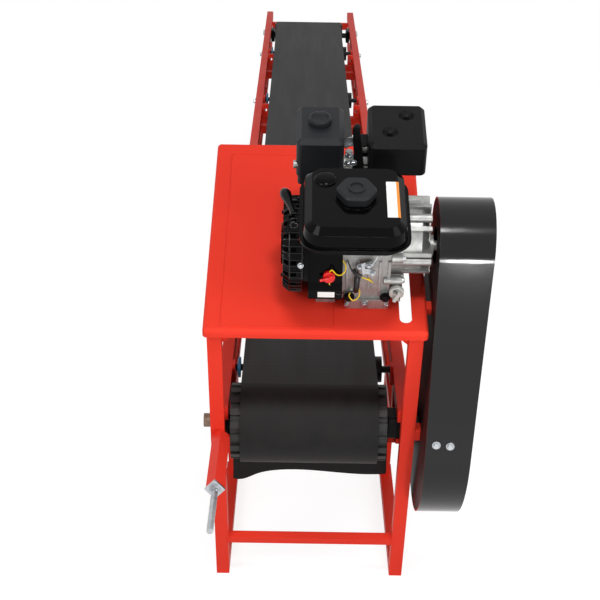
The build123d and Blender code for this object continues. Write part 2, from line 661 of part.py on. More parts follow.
# Engine: a single-cylinder petrol engine on the deck, its crank across. Places are x across, t back, h up
CASE_LEFT = -16
CASE_RIGHT = 150
CASE_FRONT = 80
CASE_BACK = 236
FOOT_H = 24
FOOT_FRONT = 72
FOOT_BOLT_X = (67, 141)
FOOT_BOLT_H = 35
SIDE_BOSS_H = 72
SIDE_BOSS_R = 9
DIPSTICK_X = 163
DIPSTICK_H = 50
with BuildPart() as crankcase:
    with BuildSketch(deck_side(CASE_LEFT)):
        with BuildLine():
            Polyline((CASE_FRONT, FOOT_H), (CASE_FRONT, 164), (CASE_FRONT + 6, 172), (CASE_FRONT + 16, 180), (CASE_BACK, 180),
                     (CASE_BACK, FOOT_H), close=True)
        make_face()
    extrude(amount=CASE_RIGHT - CASE_LEFT)
    for t in (FOOT_FRONT, CASE_BACK - 40):
        with BuildSketch(DECK):
            with Locations((105, t + 24)):
                RectangleRounded(90, 48, 5)
        extrude(amount=FOOT_H)
    with BuildSketch(DECK):
        with Locations((20, (CASE_FRONT + CASE_BACK) / 2)):
            Rectangle(40, CASE_BACK - CASE_FRONT - 20)
    extrude(amount=FOOT_H)
    # bosses of the two front bolts, the drain and the side boss
    front = Plane(origin=DECK_CORNER + along * CASE_FRONT, x_dir=across, z_dir=along * -1)
    with BuildSketch(front):
        with Locations(*[(x, FOOT_BOLT_H) for x in FOOT_BOLT_X]):
            Circle(11)
        with Locations((100, FOOT_H / 2 + 2)):
            Circle(9)
    extrude(amount=10)
    with BuildSketch(deck_side(CASE_RIGHT - 14)):
        with Locations((CASE_FRONT, SIDE_BOSS_H)):
            Circle(SIDE_BOSS_R)
    extrude(amount=14)
    # ribs down the front wall
    with BuildSketch(front):
        for x in (62, 84, 106, 128, 146):
            with Locations((x, 84)):
                Rectangle(5, 78)
    extrude(amount=4)
keep("crankcase", crankcase.part)

# Drive-side cover: bolted flange, domed case with ribs, hub, and the crank that carries the pulley
COVER_T = 163            # the cover's round form sits above and behind the crank
COVER_H = 121
COVER_R = 84
COVER_FLANGE = 14
COVER_DOME = 60
HUB_END = GUARD_X + 5
with BuildPart() as pto_cover:
    with BuildSketch(deck_side(CASE_RIGHT)):
        with Locations((COVER_T, COVER_H)):
            Circle(COVER_R - 4)
            with PolarLocations(COVER_R - 4, 7, start_angle=20):
                Circle(11)
    extrude(amount=COVER_FLANGE + 8)
    with BuildSketch(deck_side(CASE_RIGHT)):
        with Locations((COVER_T, COVER_H)):
            Circle(COVER_R - 12)
    extrude(amount=COVER_FLANGE + COVER_DOME)
    chamfer(pto_cover.edges().group_by(Axis.X)[-1], 14)
    with BuildSketch(deck_side(CASE_RIGHT)):
        with Locations((COVER_T, COVER_H)):
            with PolarLocations(COVER_R / 2 + 4, 9, start_angle=10):
                Rectangle(COVER_R - 16, 9)
            with PolarLocations(COVER_R - 10, 5, start_angle=40):
                Circle(9)
            Circle(36)
    extrude(amount=HUB_END - CASE_RIGHT - 8)
    with BuildSketch(deck_side(CASE_RIGHT)):
        with Locations((CRANK_T, CRANK_H)):
            Circle(22)
    extrude(amount=HUB_END - CASE_RIGHT)
    with BuildSketch(deck_side(HUB_END)):
        with Locations((CRANK_T, CRANK_H)):
            Circle(CRANK_R)
    extrude(amount=PULLEY_X + PULLEY_W - HUB_END)
    with BuildSketch(deck_side(CASE_RIGHT)):
        with Locations((CASE_FRONT, SIDE_BOSS_H)):
            Circle(SIDE_BOSS_R)
    extrude(amount=23)
    # filler neck with the dipstick's knob, on a lug of the cover
    with BuildSketch(deck_side(CASE_RIGHT)):
        with Locations((CASE_FRONT + 40, DIPSTICK_H)):
            Rectangle(64, 24)
    extrude(amount=22)
    with BuildSketch(front.offset(-12)):
        with Locations((DIPSTICK_X, DIPSTICK_H)):
            Circle(12)
    extrude(amount=20)
    with BuildSketch(front.offset(8)):
        with Locations((DIPSTICK_X, DIPSTICK_H)):
            Circle(14)
    extrude(amount=8)
    with BuildSketch(front.offset(16)):
        with Locations((DIPSTICK_X, DIPSTICK_H)):
            Rectangle(5, 24, rotation=25)
    extrude(amount=12)
keep("pto_cover", pto_cover.part)

# Cylinder: finned barrel and head, leaning back from the crankcase under the air cleaner and muffler
BARREL_TILT = 18
FIN_T = 4
FIN_STEP = 11
FIN_COUNT = 9
HEAD_L = 22
BARREL_X = 28
BARREL_W = 104
FIN_PROUD = 12
barrel_plane = Plane(origin=DECK_CORNER + across * BARREL_X + along * CASE_BACK + upright * 104,
                     x_dir=across, z_dir=along * cos(radians(BARREL_TILT)) + upright * sin(radians(BARREL_TILT)))
back_wall = Plane(origin=DECK_CORNER + along * CASE_BACK, x_dir=across, z_dir=along)
with BuildPart() as cylinder:
    with BuildSketch(barrel_plane.offset(-30)):
        with Locations((BARREL_W / 2, 0)):
            RectangleRounded(BARREL_W - 2 * FIN_PROUD, 76, 20)
    extrude(amount=30 + 8 + FIN_COUNT * FIN_STEP)
    for i in range(FIN_COUNT):
        with BuildSketch(barrel_plane.offset(8 + i * FIN_STEP)):
            with Locations((BARREL_W / 2, 0)):
                RectangleRounded(BARREL_W, 92, 14)
        extrude(amount=FIN_T)
    with BuildSketch(barrel_plane.offset(8 + FIN_COUNT * FIN_STEP)):
        with Locations((BARREL_W / 2, 0)):
            RectangleRounded(BARREL_W - 8, 88, 12)
    extrude(amount=HEAD_L)
    split(bisect_by=back_wall)
keep("cylinder", cylinder.part)

# Recoil starter: louvred round cover on the left, and the fan housing behind it
RECOIL_X = -67
AIR_LOW = 195            # underside of the air cleaner, which stands on the shroud
RECOIL_R = 97
RECOIL_W = 41
LOUVRES = 22
with BuildPart() as recoil_starter:
    with BuildSketch(deck_side(RECOIL_X)):
        with Locations((CRANK_T, CRANK_H)):
            Circle(RECOIL_R)
    extrude(amount=RECOIL_W)
    chamfer(recoil_starter.edges().group_by(Axis.X)[0], 12)
    with BuildSketch(deck_side(RECOIL_X)):
        with Locations((CRANK_T, CRANK_H)):
            with PolarLocations(RECOIL_R - 10, LOUVRES):
                Rectangle(38, 8)
    extrude(amount=26, mode=Mode.SUBTRACT)
    with BuildSketch(deck_side(RECOIL_X - 5)):
        with Locations((CRANK_T, CRANK_H)):
            Circle(42)
    extrude(amount=6)
    # eye that guides the starter's cord to its grip
    with BuildSketch(deck_side(RECOIL_X + 8)):
        with Locations((CRANK_T - 46, CRANK_H + 86.5)):
            RectangleRounded(24, 34, 5)
    extrude(amount=24)
keep("recoil_starter", recoil_starter.part)
FAN_W = RECOIL_X + RECOIL_W - CASE_LEFT
with BuildPart() as engine_shroud:
    with BuildSketch(deck_side(CASE_LEFT)):
        with Locations((CRANK_T, CRANK_H)):
            Circle(RECOIL_R + 1)
        with BuildLine():
            Polyline((CRANK_T + 40, 14), (CASE_BACK + 60, 60), (CASE_BACK + 100, 100), (CASE_BACK + 100, 178),
                     (CRANK_T + 30, 186), close=True)
        make_face()
    extrude(amount=FAN_W)
    with BuildSketch(deck_side(CASE_LEFT)):
        with BuildLine():
            Polyline((CASE_BACK + 4, 70), (CASE_BACK + 60, 76), (CASE_BACK + 94, 104), (CASE_BACK + 94, AIR_LOW),
                     (CASE_BACK + 4, AIR_LOW), close=True)
        make_face()
    extrude(amount=BARREL_X - CASE_LEFT - 4)
keep("engine_shroud", engine_shroud.part)

# Starter grip: a rubber handle that lies along the top of the cover, its foot on the cord's eye
GRIP_FRONT = Vector(-47, 108, 219)      # x, t, h
GRIP_BACK = Vector(-68, 186, 216)
GRIP_R = 9


def deck_point(x, t, h):
    """The point x across, t back along the deck and h up from it."""
    return DECK_CORNER + across * x + along * t + upright * h


grip_dir = deck_point(*GRIP_BACK) - deck_point(*GRIP_FRONT)
with BuildPart() as recoil_grip:
    with BuildSketch(Plane(origin=deck_point(*GRIP_FRONT), z_dir=grip_dir)):
        Circle(GRIP_R)
    extrude(amount=grip_dir.length)
    fillet(recoil_grip.edges(), 4)
keep("recoil_grip", recoil_grip.part)

def edges_at(builder, h):
    """Edges of a piece in the plane h above the deck."""
    return builder.edges().filter_by(lambda e: abs((e.center() - DECK_CORNER).dot(upright) - h) < 0.01)


# Fuel tank: a shell that hangs from its flange, the flange, and the crowned upper shell
TANK_X = 71
TANK_T = 74
TANK_W = 214
TANK_L = 228
TANK_FLANGE_H = 245
TANK_TOP_H = TANK_FLANGE_H + 46
TANK_LOW_H = TANK_FLANGE_H - 17
CAP_BACK = 4             # the filler stands a little behind the tank's middle
with BuildPart() as fuel_tank:
    with BuildSketch(DECK.offset(180)):
        with Locations((TANK_X - 50, 130), (TANK_X + 55, 130)):
            Rectangle(24, 40)
    extrude(amount=TANK_LOW_H - 180)
    with BuildSketch(DECK.offset(TANK_LOW_H)):
        with Locations((TANK_X, TANK_T)):
            RectangleRounded(TANK_W - 34, TANK_L - 28, 34)
    extrude(amount=TANK_FLANGE_H - TANK_LOW_H)
    with BuildSketch(DECK.offset(TANK_FLANGE_H)):
        with Locations((TANK_X, TANK_T)):
            RectangleRounded(TANK_W, TANK_L, 44)
    extrude(amount=5)
    with BuildSketch(DECK.offset(TANK_FLANGE_H + 5)):
        with Locations((TANK_X, TANK_T)):
            RectangleRounded(TANK_W - 12, TANK_L - 12, 40)
    extrude(amount=27, taper=8)
    with BuildSketch(DECK.offset(TANK_FLANGE_H + 32)):
        with Locations((TANK_X, TANK_T)):
            RectangleRounded(TANK_W - 21, TANK_L - 21, 35)
    extrude(amount=12, taper=48)
    with BuildSketch(DECK.offset(TANK_FLANGE_H + 44)):
        with Locations((TANK_X + 2, TANK_T + CAP_BACK)):
            Circle(44)
    extrude(amount=TANK_TOP_H - TANK_FLANGE_H - 44)
keep("fuel_tank", fuel_tank.part)
CAP_R = 41
with BuildPart() as fuel_cap:
    with BuildSketch(DECK.offset(TANK_TOP_H)):
        with Locations((TANK_X + 2, TANK_T + CAP_BACK)):
            RegularPolygon(CAP_R, 6)
        fillet(vertices(), 15)
    extrude(amount=18)
    chamfer(edges_at(fuel_cap, TANK_TOP_H + 18), 4)
    with BuildSketch(DECK.offset(TANK_TOP_H + 18)):
        with Locations((TANK_X + 2, TANK_T + CAP_BACK)):
            Circle(17)
            Circle(13, mode=Mode.SUBTRACT)
    extrude(amount=2.5)
keep("fuel_cap", fuel_cap.part)

# Air cleaner: base, cover with bevelled shoulders, and the round knob on top
AIR_X = 4
AIR_T = 292
AIR_TOP = 306
AIR_W = 96
AIR_L = 128
with BuildPart() as air_cleaner:
    with BuildSketch(DECK.offset(AIR_LOW)):
        with Locations((AIR_X, AIR_T)):
            RectangleRounded(AIR_W - 6, AIR_L - 6, 10)
    extrude(amount=22)
    with BuildSketch(DECK.offset(AIR_LOW + 22)):
        with Locations((AIR_X, AIR_T)):
            RectangleRounded(AIR_W, AIR_L, 12)
    extrude(amount=AIR_TOP - AIR_LOW - 22)
    chamfer(edges_at(air_cleaner, AIR_TOP), 10)
    with BuildSketch(DECK.offset(AIR_TOP)):
        with Locations((AIR_X - 1, AIR_T + 2)):
            Circle(23)
            Circle(17, mode=Mode.SUBTRACT)
    extrude(amount=6)
    with BuildSketch(DECK.offset(AIR_TOP)):
        with Locations((AIR_X - 1, AIR_T + 2)):
            Circle(17)
    extrude(amount=3)
keep("air_cleaner", air_cleaner.part)

# Muffler: pressed box with bevelled shoulders and two dished bolt seats on top
MUFFLER_X = 159.5
MUFFLER_W = 117
MUFFLER_T = 297
MUFFLER_L = 147
MUFFLER_LOW = 228
MUFFLER_TOP = 301
with BuildPart() as muffler:
    with BuildSketch(DECK.offset(MUFFLER_LOW)):
        with Locations((MUFFLER_X, MUFFLER_T)):
            RectangleRounded(MUFFLER_W, MUFFLER_L, 14)
    extrude(amount=MUFFLER_TOP - MUFFLER_LOW)
    chamfer(edges_at(muffler, MUFFLER_TOP), 8)
    for x, t in ((MUFFLER_X + 19.5, MUFFLER_T + 31), (MUFFLER_X - 15.5, MUFFLER_T - 26)):
        with BuildSketch(DECK.offset(MUFFLER_TOP)):
            with Locations((x, t)):
                Circle(17)
        extrude(amount=-6, taper=40, mode=Mode.SUBTRACT)
    # bracket down to the crankcase's back wall, and the exhaust's elbow to the left
    with BuildSketch(DECK.offset(MUFFLER_LOW - 78)):
        with Locations((141.5, CASE_BACK + 13)):
            Rectangle(15, 26)
    extrude(amount=78)
    with BuildSketch(deck_side(MUFFLER_X - MUFFLER_W / 2 - 14)):
        with Locations((MUFFLER_T + 3, MUFFLER_LOW + 17)):
            RectangleRounded(40, 34, 6)
    extrude(amount=24)
keep("muffler", muffler.part)

# Carburettor between air cleaner and muffler
with BuildPart() as carburettor:
    with BuildSketch(DECK.offset(182)):
        with Locations((70, 282)):
            RectangleRounded(40, 40, 6)
    extrude(amount=34)
    with BuildSketch(deck_side(AIR_X + AIR_W / 2)):
        with Locations((282, 212)):
            Circle(15)
    extrude(amount=40)
    with BuildSketch(DECK.offset(216)):
        with Locations((64, 292)):
            Circle(8)
    extrude(amount=20)
    # throttle lever: a pressed plate that stands between air cleaner and muffler
    with BuildSketch(Plane(origin=DECK_CORNER + along * 262, x_dir=across, z_dir=along * -1)):
        with BuildLine():
            Polyline((70, 186), (92, 186), (92, 226), (80, 322), (74, 322), (69, 312), (74, 250), close=True)
        make_face()
    extrude(amount=4)
keep("carburettor", carburettor.part)

# Switch box on the left front of the crankcase, and the red switch on its sloping face
BOX_X = CASE_LEFT
BOX_W = 68
BOX_FACE = ((56, 83), (76, 164))        # (t, h) of the sloping face's lower and upper edge
with BuildPart() as control_box:
    with BuildSketch(deck_side(BOX_X)):
        with BuildLine():
            Polyline((CASE_FRONT, 47), (48, 47), (48, 71), BOX_FACE[0], BOX_FACE[1], (CASE_FRONT, BOX_FACE[1][1]), close=True)
        make_face()
    extrude(amount=BOX_W)
keep("control_box", control_box.part)
face_dir = (along * (BOX_FACE[1][0] - BOX_FACE[0][0]) + upright * (BOX_FACE[1][1] - BOX_FACE[0][1])).normalized()
SWITCH_UP = 0.2          # how far up the sloping face the switch stands, as a part of the face
SWITCH_PLANE = Plane(origin=deck_point(25, BOX_FACE[0][0] + SWITCH_UP * (BOX_FACE[1][0] - BOX_FACE[0][0]),
                                       BOX_FACE[0][1] + SWITCH_UP * (BOX_FACE[1][1] - BOX_FACE[0][1])), x_dir=across, z_dir=across.cross(face_dir))
with BuildPart() as switch_knob:
    with BuildSketch(SWITCH_PLANE):
        Circle(12)
    extrude(amount=9)
    with BuildSketch(SWITCH_PLANE.offset(9)):
        SlotOverall(20, 7, rotation=35)
    extrude(amount=7)
keep("switch_knob", switch_knob.part)

# Transport wheels on a fixed axle under the truss
AXLE_HALF = 290
STAY_SPREAD = 150
STAY_PAD = 24
with BuildPart() as axle:
    with BuildSketch(side(-AXLE_HALF)):
        with Locations((WHEEL_Y, WHEEL_R)):
            Circle(AXLE_R)
    extrude(amount=2 * AXLE_HALF)
keep("axle", axle.part)
with BuildPart() as axle_stays:
    for mark in (-1, 1):
        with BuildSketch(side(mark * RAIL_X - TUBE / 2)):
            with BuildLine():
                Polyline((WHEEL_Y - STAY_SPREAD, RAIL_TOP - TRUSS_H), (WHEEL_Y - STAY_SPREAD + TUBE, RAIL_TOP - TRUSS_H),
                         (WHEEL_Y, WHEEL_R + 60), (WHEEL_Y + STAY_SPREAD - TUBE, RAIL_TOP - TRUSS_H),
                         (WHEEL_Y + STAY_SPREAD, RAIL_TOP - TRUSS_H), (WHEEL_Y + STAY_PAD, WHEEL_R - 20),
                         (WHEEL_Y - STAY_PAD, WHEEL_R - 20), close=True)
            make_face()
            with Locations((WHEEL_Y, WHEEL_R)):
                Circle(AXLE_R, mode=Mode.SUBTRACT)
        extrude(amount=TUBE)
keep("axle_stays", axle_stays.part)
WHEEL_IN = RAIL_OUT / 2 + 8
HUB_OUT_R = 26
RIM_T = 8
RIM_HOLES = 5
for name, mark in (("left", -1), ("right", 1)):
    with BuildPart() as rim:
        with BuildSketch(side(mark * WHEEL_IN)):
            with Locations((WHEEL_Y, WHEEL_R)):
                Circle(RIM_R)
                Circle(RIM_R - RIM_T, mode=Mode.SUBTRACT)
                Circle(HUB_OUT_R)
        extrude(amount=mark * WHEEL_W)
        with BuildSketch(side(mark * (WHEEL_IN + WHEEL_W * 0.45))):
            with Locations((WHEEL_Y, WHEEL_R)):
                Circle(RIM_R - RIM_T / 2)
                with PolarLocations(RIM_R * 0.58, RIM_HOLES):
                    Circle(17, mode=Mode.SUBTRACT)
        extrude(amount=mark * 6)
        with BuildSketch(side(mark * WHEEL_IN)):
            with Locations((WHEEL_Y, WHEEL_R)):
                Circle(AXLE_R + 0.05)
        extrude(amount=mark * WHEEL_W, mode=Mode.SUBTRACT)
    keep(f"wheel_rim_{name}", rim.part)
    with BuildPart() as tyre:
        with BuildSketch(side(mark * WHEEL_IN)):
            with Locations((WHEEL_Y, WHEEL_R)):
                Circle(WHEEL_R)
                Circle(RIM_R, mode=Mode.SUBTRACT)
        extrude(amount=mark * WHEEL_W)
        fillet(tyre.edges().filter_by(lambda e: e.geom_type == GeomType.CIRCLE and e.radius > WHEEL_R - 5), 18)
    keep(f"tyre_{name}", tyre.part)

# The origin goes to the floor under the middle of the whole
boxes = [solid.bounding_box() for solid in pieces.values()]
lowest = [min(tuple(box.min)[k] for box in boxes) for k in range(3)]
highest = [max(tuple(box.max)[k] for box in boxes) for k in range(3)]
to_origin = Pos(-(lowest[0] + highest[0]) / 2, -(lowest[1] + highest[1]) / 2, -lowest[2])
for label, solid in pieces.items():
    moved = solid.moved(to_origin)
    moved.label = label
    export_step(moved, f"parts/{label}.step")
print("moved by", to_origin.position, "size", [b - a for a, b in zip(lowest, highest)])
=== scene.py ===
# %% [markdown]
# # Belt conveyor for firewood
# The imported CAD model comes in first. Every later cell adds a finish or a small piece to it.

# %% Load the imported model
import json

import bmesh
import bpy
import numpy as np
from mathutils import Matrix, Vector


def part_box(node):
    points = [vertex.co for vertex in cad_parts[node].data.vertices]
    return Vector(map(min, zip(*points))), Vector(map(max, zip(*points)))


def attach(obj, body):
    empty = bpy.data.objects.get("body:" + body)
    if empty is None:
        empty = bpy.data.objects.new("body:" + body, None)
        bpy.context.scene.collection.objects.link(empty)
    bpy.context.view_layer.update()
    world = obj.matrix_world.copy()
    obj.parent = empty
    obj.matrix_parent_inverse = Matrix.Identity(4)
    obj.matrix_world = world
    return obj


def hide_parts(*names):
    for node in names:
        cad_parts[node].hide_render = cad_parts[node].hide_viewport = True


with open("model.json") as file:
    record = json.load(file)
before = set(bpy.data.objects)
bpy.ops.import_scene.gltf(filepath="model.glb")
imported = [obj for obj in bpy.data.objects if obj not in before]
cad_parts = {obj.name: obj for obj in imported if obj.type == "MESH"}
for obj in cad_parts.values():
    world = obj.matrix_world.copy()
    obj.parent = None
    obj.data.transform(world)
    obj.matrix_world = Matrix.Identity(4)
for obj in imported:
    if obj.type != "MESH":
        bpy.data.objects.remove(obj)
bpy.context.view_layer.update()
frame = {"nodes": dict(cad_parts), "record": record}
print(len(frame["nodes"]), "CAD pieces")

# %% [markdown]
# ## The camera
# The photograph is taken from before the drive end, above the drum, looking down along the belt.
# The camera could be placed by eye, but the tubes, the deck's corners and the belt's edges fix it
# well, so its place and angles are written as numbers worked out from them.

# %% Camera
FOCAL_MM = 87.12
SENSOR_MM = 36.0
PITCH, YAW, ROLL = np.radians([22.152, 0.046, 0.897])
CAMERA_FROM_DRUM = Vector((-0.03428, -2.8767, 1.92112))


def camera_matrix(place):
    """The camera looks along its own -Z; its up direction is +Y before the roll."""
    forward = Vector((np.sin(YAW) * np.cos(PITCH), np.cos(YAW) * np.cos(PITCH), -np.sin(PITCH)))
    right = Vector((np.cos(YAW), -np.sin(YAW), 0.0))
    up = right.cross(forward)
    rolled_right = right * np.cos(ROLL) + up * np.sin(ROLL)
    rolled_up = up * np.cos(ROLL) - right * np.sin(ROLL)
    turn = Matrix((rolled_right, rolled_up, -forward)).transposed()
    return Matrix.Translation(place) @ turn.to_4x4()


def drum_axis():
    """Where the drum's axis meets the frame's middle plane, dropped to the floor."""
    low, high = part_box("drive_drum")
    left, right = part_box("rail_left")[0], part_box("rail_right")[1]
    return Vector(((left[0] + right[0]) / 2, (low[1] + high[1]) / 2, 0.0))


lens = bpy.data.cameras.new("Camera")
lens.lens = FOCAL_MM
lens.sensor_width = SENSOR_MM
camera = bpy.data.objects.new("Camera", lens)
bpy.context.scene.collection.objects.link(camera)
camera.matrix_world = camera_matrix(drum_axis() + CAMERA_FROM_DRUM)
bpy.context.scene.camera = camera

# %% [markdown]
# ## Ways to make a finish
# Each finish is a node tree on Object coordinates, so a pattern has one size in millimetres on
# every piece. Colours are written as on a paint card and turned to linear light by one function.

# %% Helpers for finishes
MM = 0.001


def paint_card(code):
    """sRGB hex to linear RGBA: each channel c is c/12.92 below 0.04045, else ((c+0.055)/1.055)^2.4."""
    c = np.array([int(code[i:i + 2], 16) / 255 for i in (1, 3, 5)])
    linear = np.where(c <= 0.04045, c / 12.92, ((c + 0.055) / 1.055) ** 2.4)
    return (*linear.tolist(), 1.0)


def add_node(tree, kind, values=(), links=(), **settings):
    """A node with its settings, the values of its unlinked sockets, and its links from other nodes."""
    made = tree.nodes.new(kind)
    for key, value in settings.items():
        setattr(made, key, value)
    for socket, value in dict(values).items():
        made.inputs[socket].default_value = value
    for socket, source in dict(links).items():
        tree.links.new(source, made.inputs[socket])
    return made


def start_finish(name):
    """An empty material and its tree with the place coordinates that every pattern reads."""
    material = bpy.data.materials.new(name)
    material.use_nodes = True
    material.node_tree.nodes.clear()
    place = add_node(material.node_tree, "ShaderNodeTexCoord").outputs["Object"]
    return material, material.node_tree, place


def end_finish(material, values, links):
    """The surface shader with its constants on its own sockets, and the output."""
    tree = material.node_tree
    skin = add_node(tree, "ShaderNodeBsdfPrincipled", values, links)
    add_node(tree, "ShaderNodeOutputMaterial", links={"Surface": skin.outputs[0]})
    return material


def lumps(size_mm):
    """Scale of a noise whose lumps are about size_mm across: one over twice that size in metres."""
    return 0.5 / (size_mm * MM)


print("helpers for finishes are ready")


# %% [markdown]
# ## Lamps
# The photograph has soft daylight from the front. Two large soft boxes at the sides do the same,
# and a smaller one above lights the tops of tank and air cleaner. A small one low in front shows in
# the guard's rim as a bright band. A lamp behind the machine would wash out the sloping deck, so
# there is none, and the sky gives the rest of the light.

# %% Lamps
scene = bpy.context.scene
scene.view_settings.view_transform = "Standard"


def area_lamp(name, place, aim, size, watts):
    """A square soft box at place that faces the point aim."""
    data = bpy.data.lights.new(name, "AREA")
    data.size, data.energy = size, watts
    lamp = bpy.data.objects.new(name, data)
    lamp.location = place
    lamp.rotation_euler = (Vector(aim) - Vector(place)).to_track_quat("-Z", "Y").to_euler()
    scene.collection.objects.link(lamp)


drum = drum_axis()
area_lamp("Front left", drum + Vector((-2.6, -3.4, 3.4)), drum + Vector((0, 0.4, 0.6)), 2.0, 85)
area_lamp("Front right", drum + Vector((3.0, -2.4, 2.6)), drum + Vector((0, 0.4, 0.6)), 2.2, 48)
area_lamp("Above the front", drum + Vector((0.3, -2.2, 4.0)), drum + Vector((0.1, 0.3, 0.4)), 0.5, 60)
GUARD_RIM_FRONT = drum + Vector((0.3125, -0.185, 0.91))
area_lamp("Low in front", drum + Vector((0.4625, -1.545, 0.54)), GUARD_RIM_FRONT, 0.1, 6)
print("four lamps")

# %% [markdown]
# ## White room
# The world and the floor are white to the camera and in reflections, and light the object at a
# lower level. Each asks the Light Path what kind of ray it meets. The floor keeps part of its plain
# white paint for the camera, so the machine's shadow stays as a faint grey.

# %% World and floor
world = bpy.data.worlds.new("Studio")
scene.world = world
world.use_nodes = True
tree = world.node_tree
tree.nodes.clear()
rays = add_node(tree, "ShaderNodeLightPath").outputs
seen = add_node(tree, "ShaderNodeMath", links={0: rays["Is Camera Ray"], 1: rays["Is Glossy Ray"]},
                operation="MAXIMUM")
seen = add_node(tree, "ShaderNodeMath", links={0: seen.outputs[0], 1: rays["Is Transmission Ray"]},
                operation="MAXIMUM")
white = add_node(tree, "ShaderNodeBackground", {"Color": (1, 1, 1, 1), "Strength": 1.0})
sky = add_node(tree, "ShaderNodeBackground", {"Color": (1, 1, 1, 1), "Strength": 0.42})
mix = add_node(tree, "ShaderNodeMixShader",
               links={0: seen.outputs[0], 1: sky.outputs[0], 2: white.outputs[0]})
add_node(tree, "ShaderNodeOutputWorld", links={"Surface": mix.outputs[0]})

FLOOR_HALF = 14.0
floor_mesh = bpy.data.meshes.new("Floor")
floor_mesh.from_pydata([(-FLOOR_HALF, -FLOOR_HALF, 0), (FLOOR_HALF, -FLOOR_HALF, 0),
                        (FLOOR_HALF, FLOOR_HALF, 0), (-FLOOR_HALF, FLOOR_HALF, 0)], [], [(0, 1, 2, 3)])
floor = bpy.data.objects.new("Floor", floor_mesh)
floor.location.z = -1 * MM
scene.collection.objects.link(floor)
floor_paint = bpy.data.materials.new("Floor paint, matt white")
floor_paint.use_nodes = True
tree = floor_paint.node_tree
tree.nodes.clear()
rays = add_node(tree, "ShaderNodeLightPath").outputs
seen = add_node(tree, "ShaderNodeMath", links={0: rays["Is Camera Ray"], 1: rays["Is Glossy Ray"]},
                operation="MAXIMUM")
paint = add_node(tree, "ShaderNodeBsdfDiffuse", {"Color": (0.7, 0.7, 0.7, 1)})
part_paint = add_node(tree, "ShaderNodeBsdfDiffuse", {"Color": (0.35, 0.35, 0.35, 1)})
glow = add_node(tree, "ShaderNodeEmission", {"Color": (1, 1, 1, 1), "Strength": 0.84})
both = add_node(tree, "ShaderNodeAddShader", links={0: part_paint.outputs[0], 1: glow.outputs[0]})
mix = add_node(tree, "ShaderNodeMixShader",
               links={0: seen.outputs[0], 1: paint.outputs[0], 2: both.outputs[0]})
add_node(tree, "ShaderNodeOutputMaterial", links={"Surface": mix.outputs[0]})
floor_mesh.materials.append(floor_paint)
print("world and floor are white to the camera")

# %% [markdown]
# ## Red powder coat
# Tubes and deck are steel under a polyester powder coat, baked on. It flows into a fine orange-peel
# skin and rounds each edge. A plain red would look like plastic: the slight change of tone over
# some 150 mm and the peel's ripple of about 2 mm break up the highlights as the real coat does.
# The Bevel node rounds edges in the shading alone, which leaves the CAD mesh as it is.

# %% Red powder coat
red_coat, tree, place = start_finish("Powder coat, orange red")
cloud = add_node(tree, "ShaderNodeTexNoise", {"Scale": lumps(150), "Detail": 3.0}, {"Vector": place})
tone = add_node(tree, "ShaderNodeMix", {6: paint_card("#DB3426"), 7: paint_card("#E73E2C")},
                {0: cloud.outputs[0]}, data_type="RGBA")
ripple = add_node(tree, "ShaderNodeTexNoise", {"Scale": lumps(2.2), "Detail": 1.0}, {"Vector": place})
edge = add_node(tree, "ShaderNodeBevel", {"Radius": 1.6 * MM}, samples=4)
peel = add_node(tree, "ShaderNodeBump", {"Distance": 0.04 * MM},
                {"Height": ripple.outputs[0], "Normal": edge.outputs[0]})
rubbed = add_node(tree, "ShaderNodeTexNoise", {"Scale": lumps(60), "Detail": 4.0}, {"Vector": place})
gloss = add_node(tree, "ShaderNodeMapRange", {"To Min": 0.36, "To Max": 0.56}, {"Value": rubbed.outputs[0]})
end_finish(red_coat, {"IOR": 1.5, "Specular IOR Level": 0.06},
           {"Base Color": tone.outputs[2], "Roughness": gloss.outputs[0], "Normal": peel.outputs[0]})
print(red_coat.name)

# %% [markdown]
# ## Conveyor belt and other rubber
# The belt is black rubber over woven carcass. Its top keeps a shallow print of the cloth it was
# cured against, drawn at 3 mm because the real 1 mm weave is too fine to show, and dust lies on it
# in long streaks. The flap is cut from the same sheet.

# %% Belt rubber
belt_rubber, tree, place = start_finish("Vulcanised rubber with cloth print")
streaks = add_node(tree, "ShaderNodeMapping", {"Scale": (1.0, 0.08, 1.0)}, {"Vector": place})
dust = add_node(tree, "ShaderNodeTexNoise", {"Scale": lumps(18), "Detail": 4.0, "Roughness": 0.6},
                {"Vector": streaks.outputs[0]})
tone = add_node(tree, "ShaderNodeMix", {6: paint_card("#080809"), 7: paint_card("#211F1E")},
                {0: dust.outputs[0]}, data_type="RGBA")
warp = add_node(tree, "ShaderNodeTexWave", {"Scale": 0.05 / (3 * MM), "Distortion": 0.4}, {"Vector": place},
                bands_direction="X")
weft = add_node(tree, "ShaderNodeTexWave", {"Scale": 0.05 / (3 * MM), "Distortion": 0.4}, {"Vector": place},
                bands_direction="Y")
weave = add_node(tree, "ShaderNodeMath", links={0: warp.outputs[1], 1: weft.outputs[1]}, operation="MULTIPLY")
print_bump = add_node(tree, "ShaderNodeBump", {"Distance": 0.12 * MM}, {"Height": weave.outputs[0]})
sheen = add_node(tree, "ShaderNodeMapRange", {"To Min": 0.5, "To Max": 0.7}, {"Value": dust.outputs[0]})
end_finish(belt_rubber, {"IOR": 1.52, "Specular IOR Level": 0.15},
           {"Base Color": tone.outputs[2], "Roughness": sheen.outputs[0], "Normal": print_bump.outputs[0]})
print(belt_rubber.name)

# %% [markdown]
# ## Black sheet and black enamel
# The guard's sheet has a semi-gloss powder coat with a faint peel. The tank and the starter are
# sprayed with a wet, deep enamel that levels itself, so only a slow wave of some 30 mm is left.
# A third, polished black mirrors more, for the guard's rim and the edges of the starter's cover.

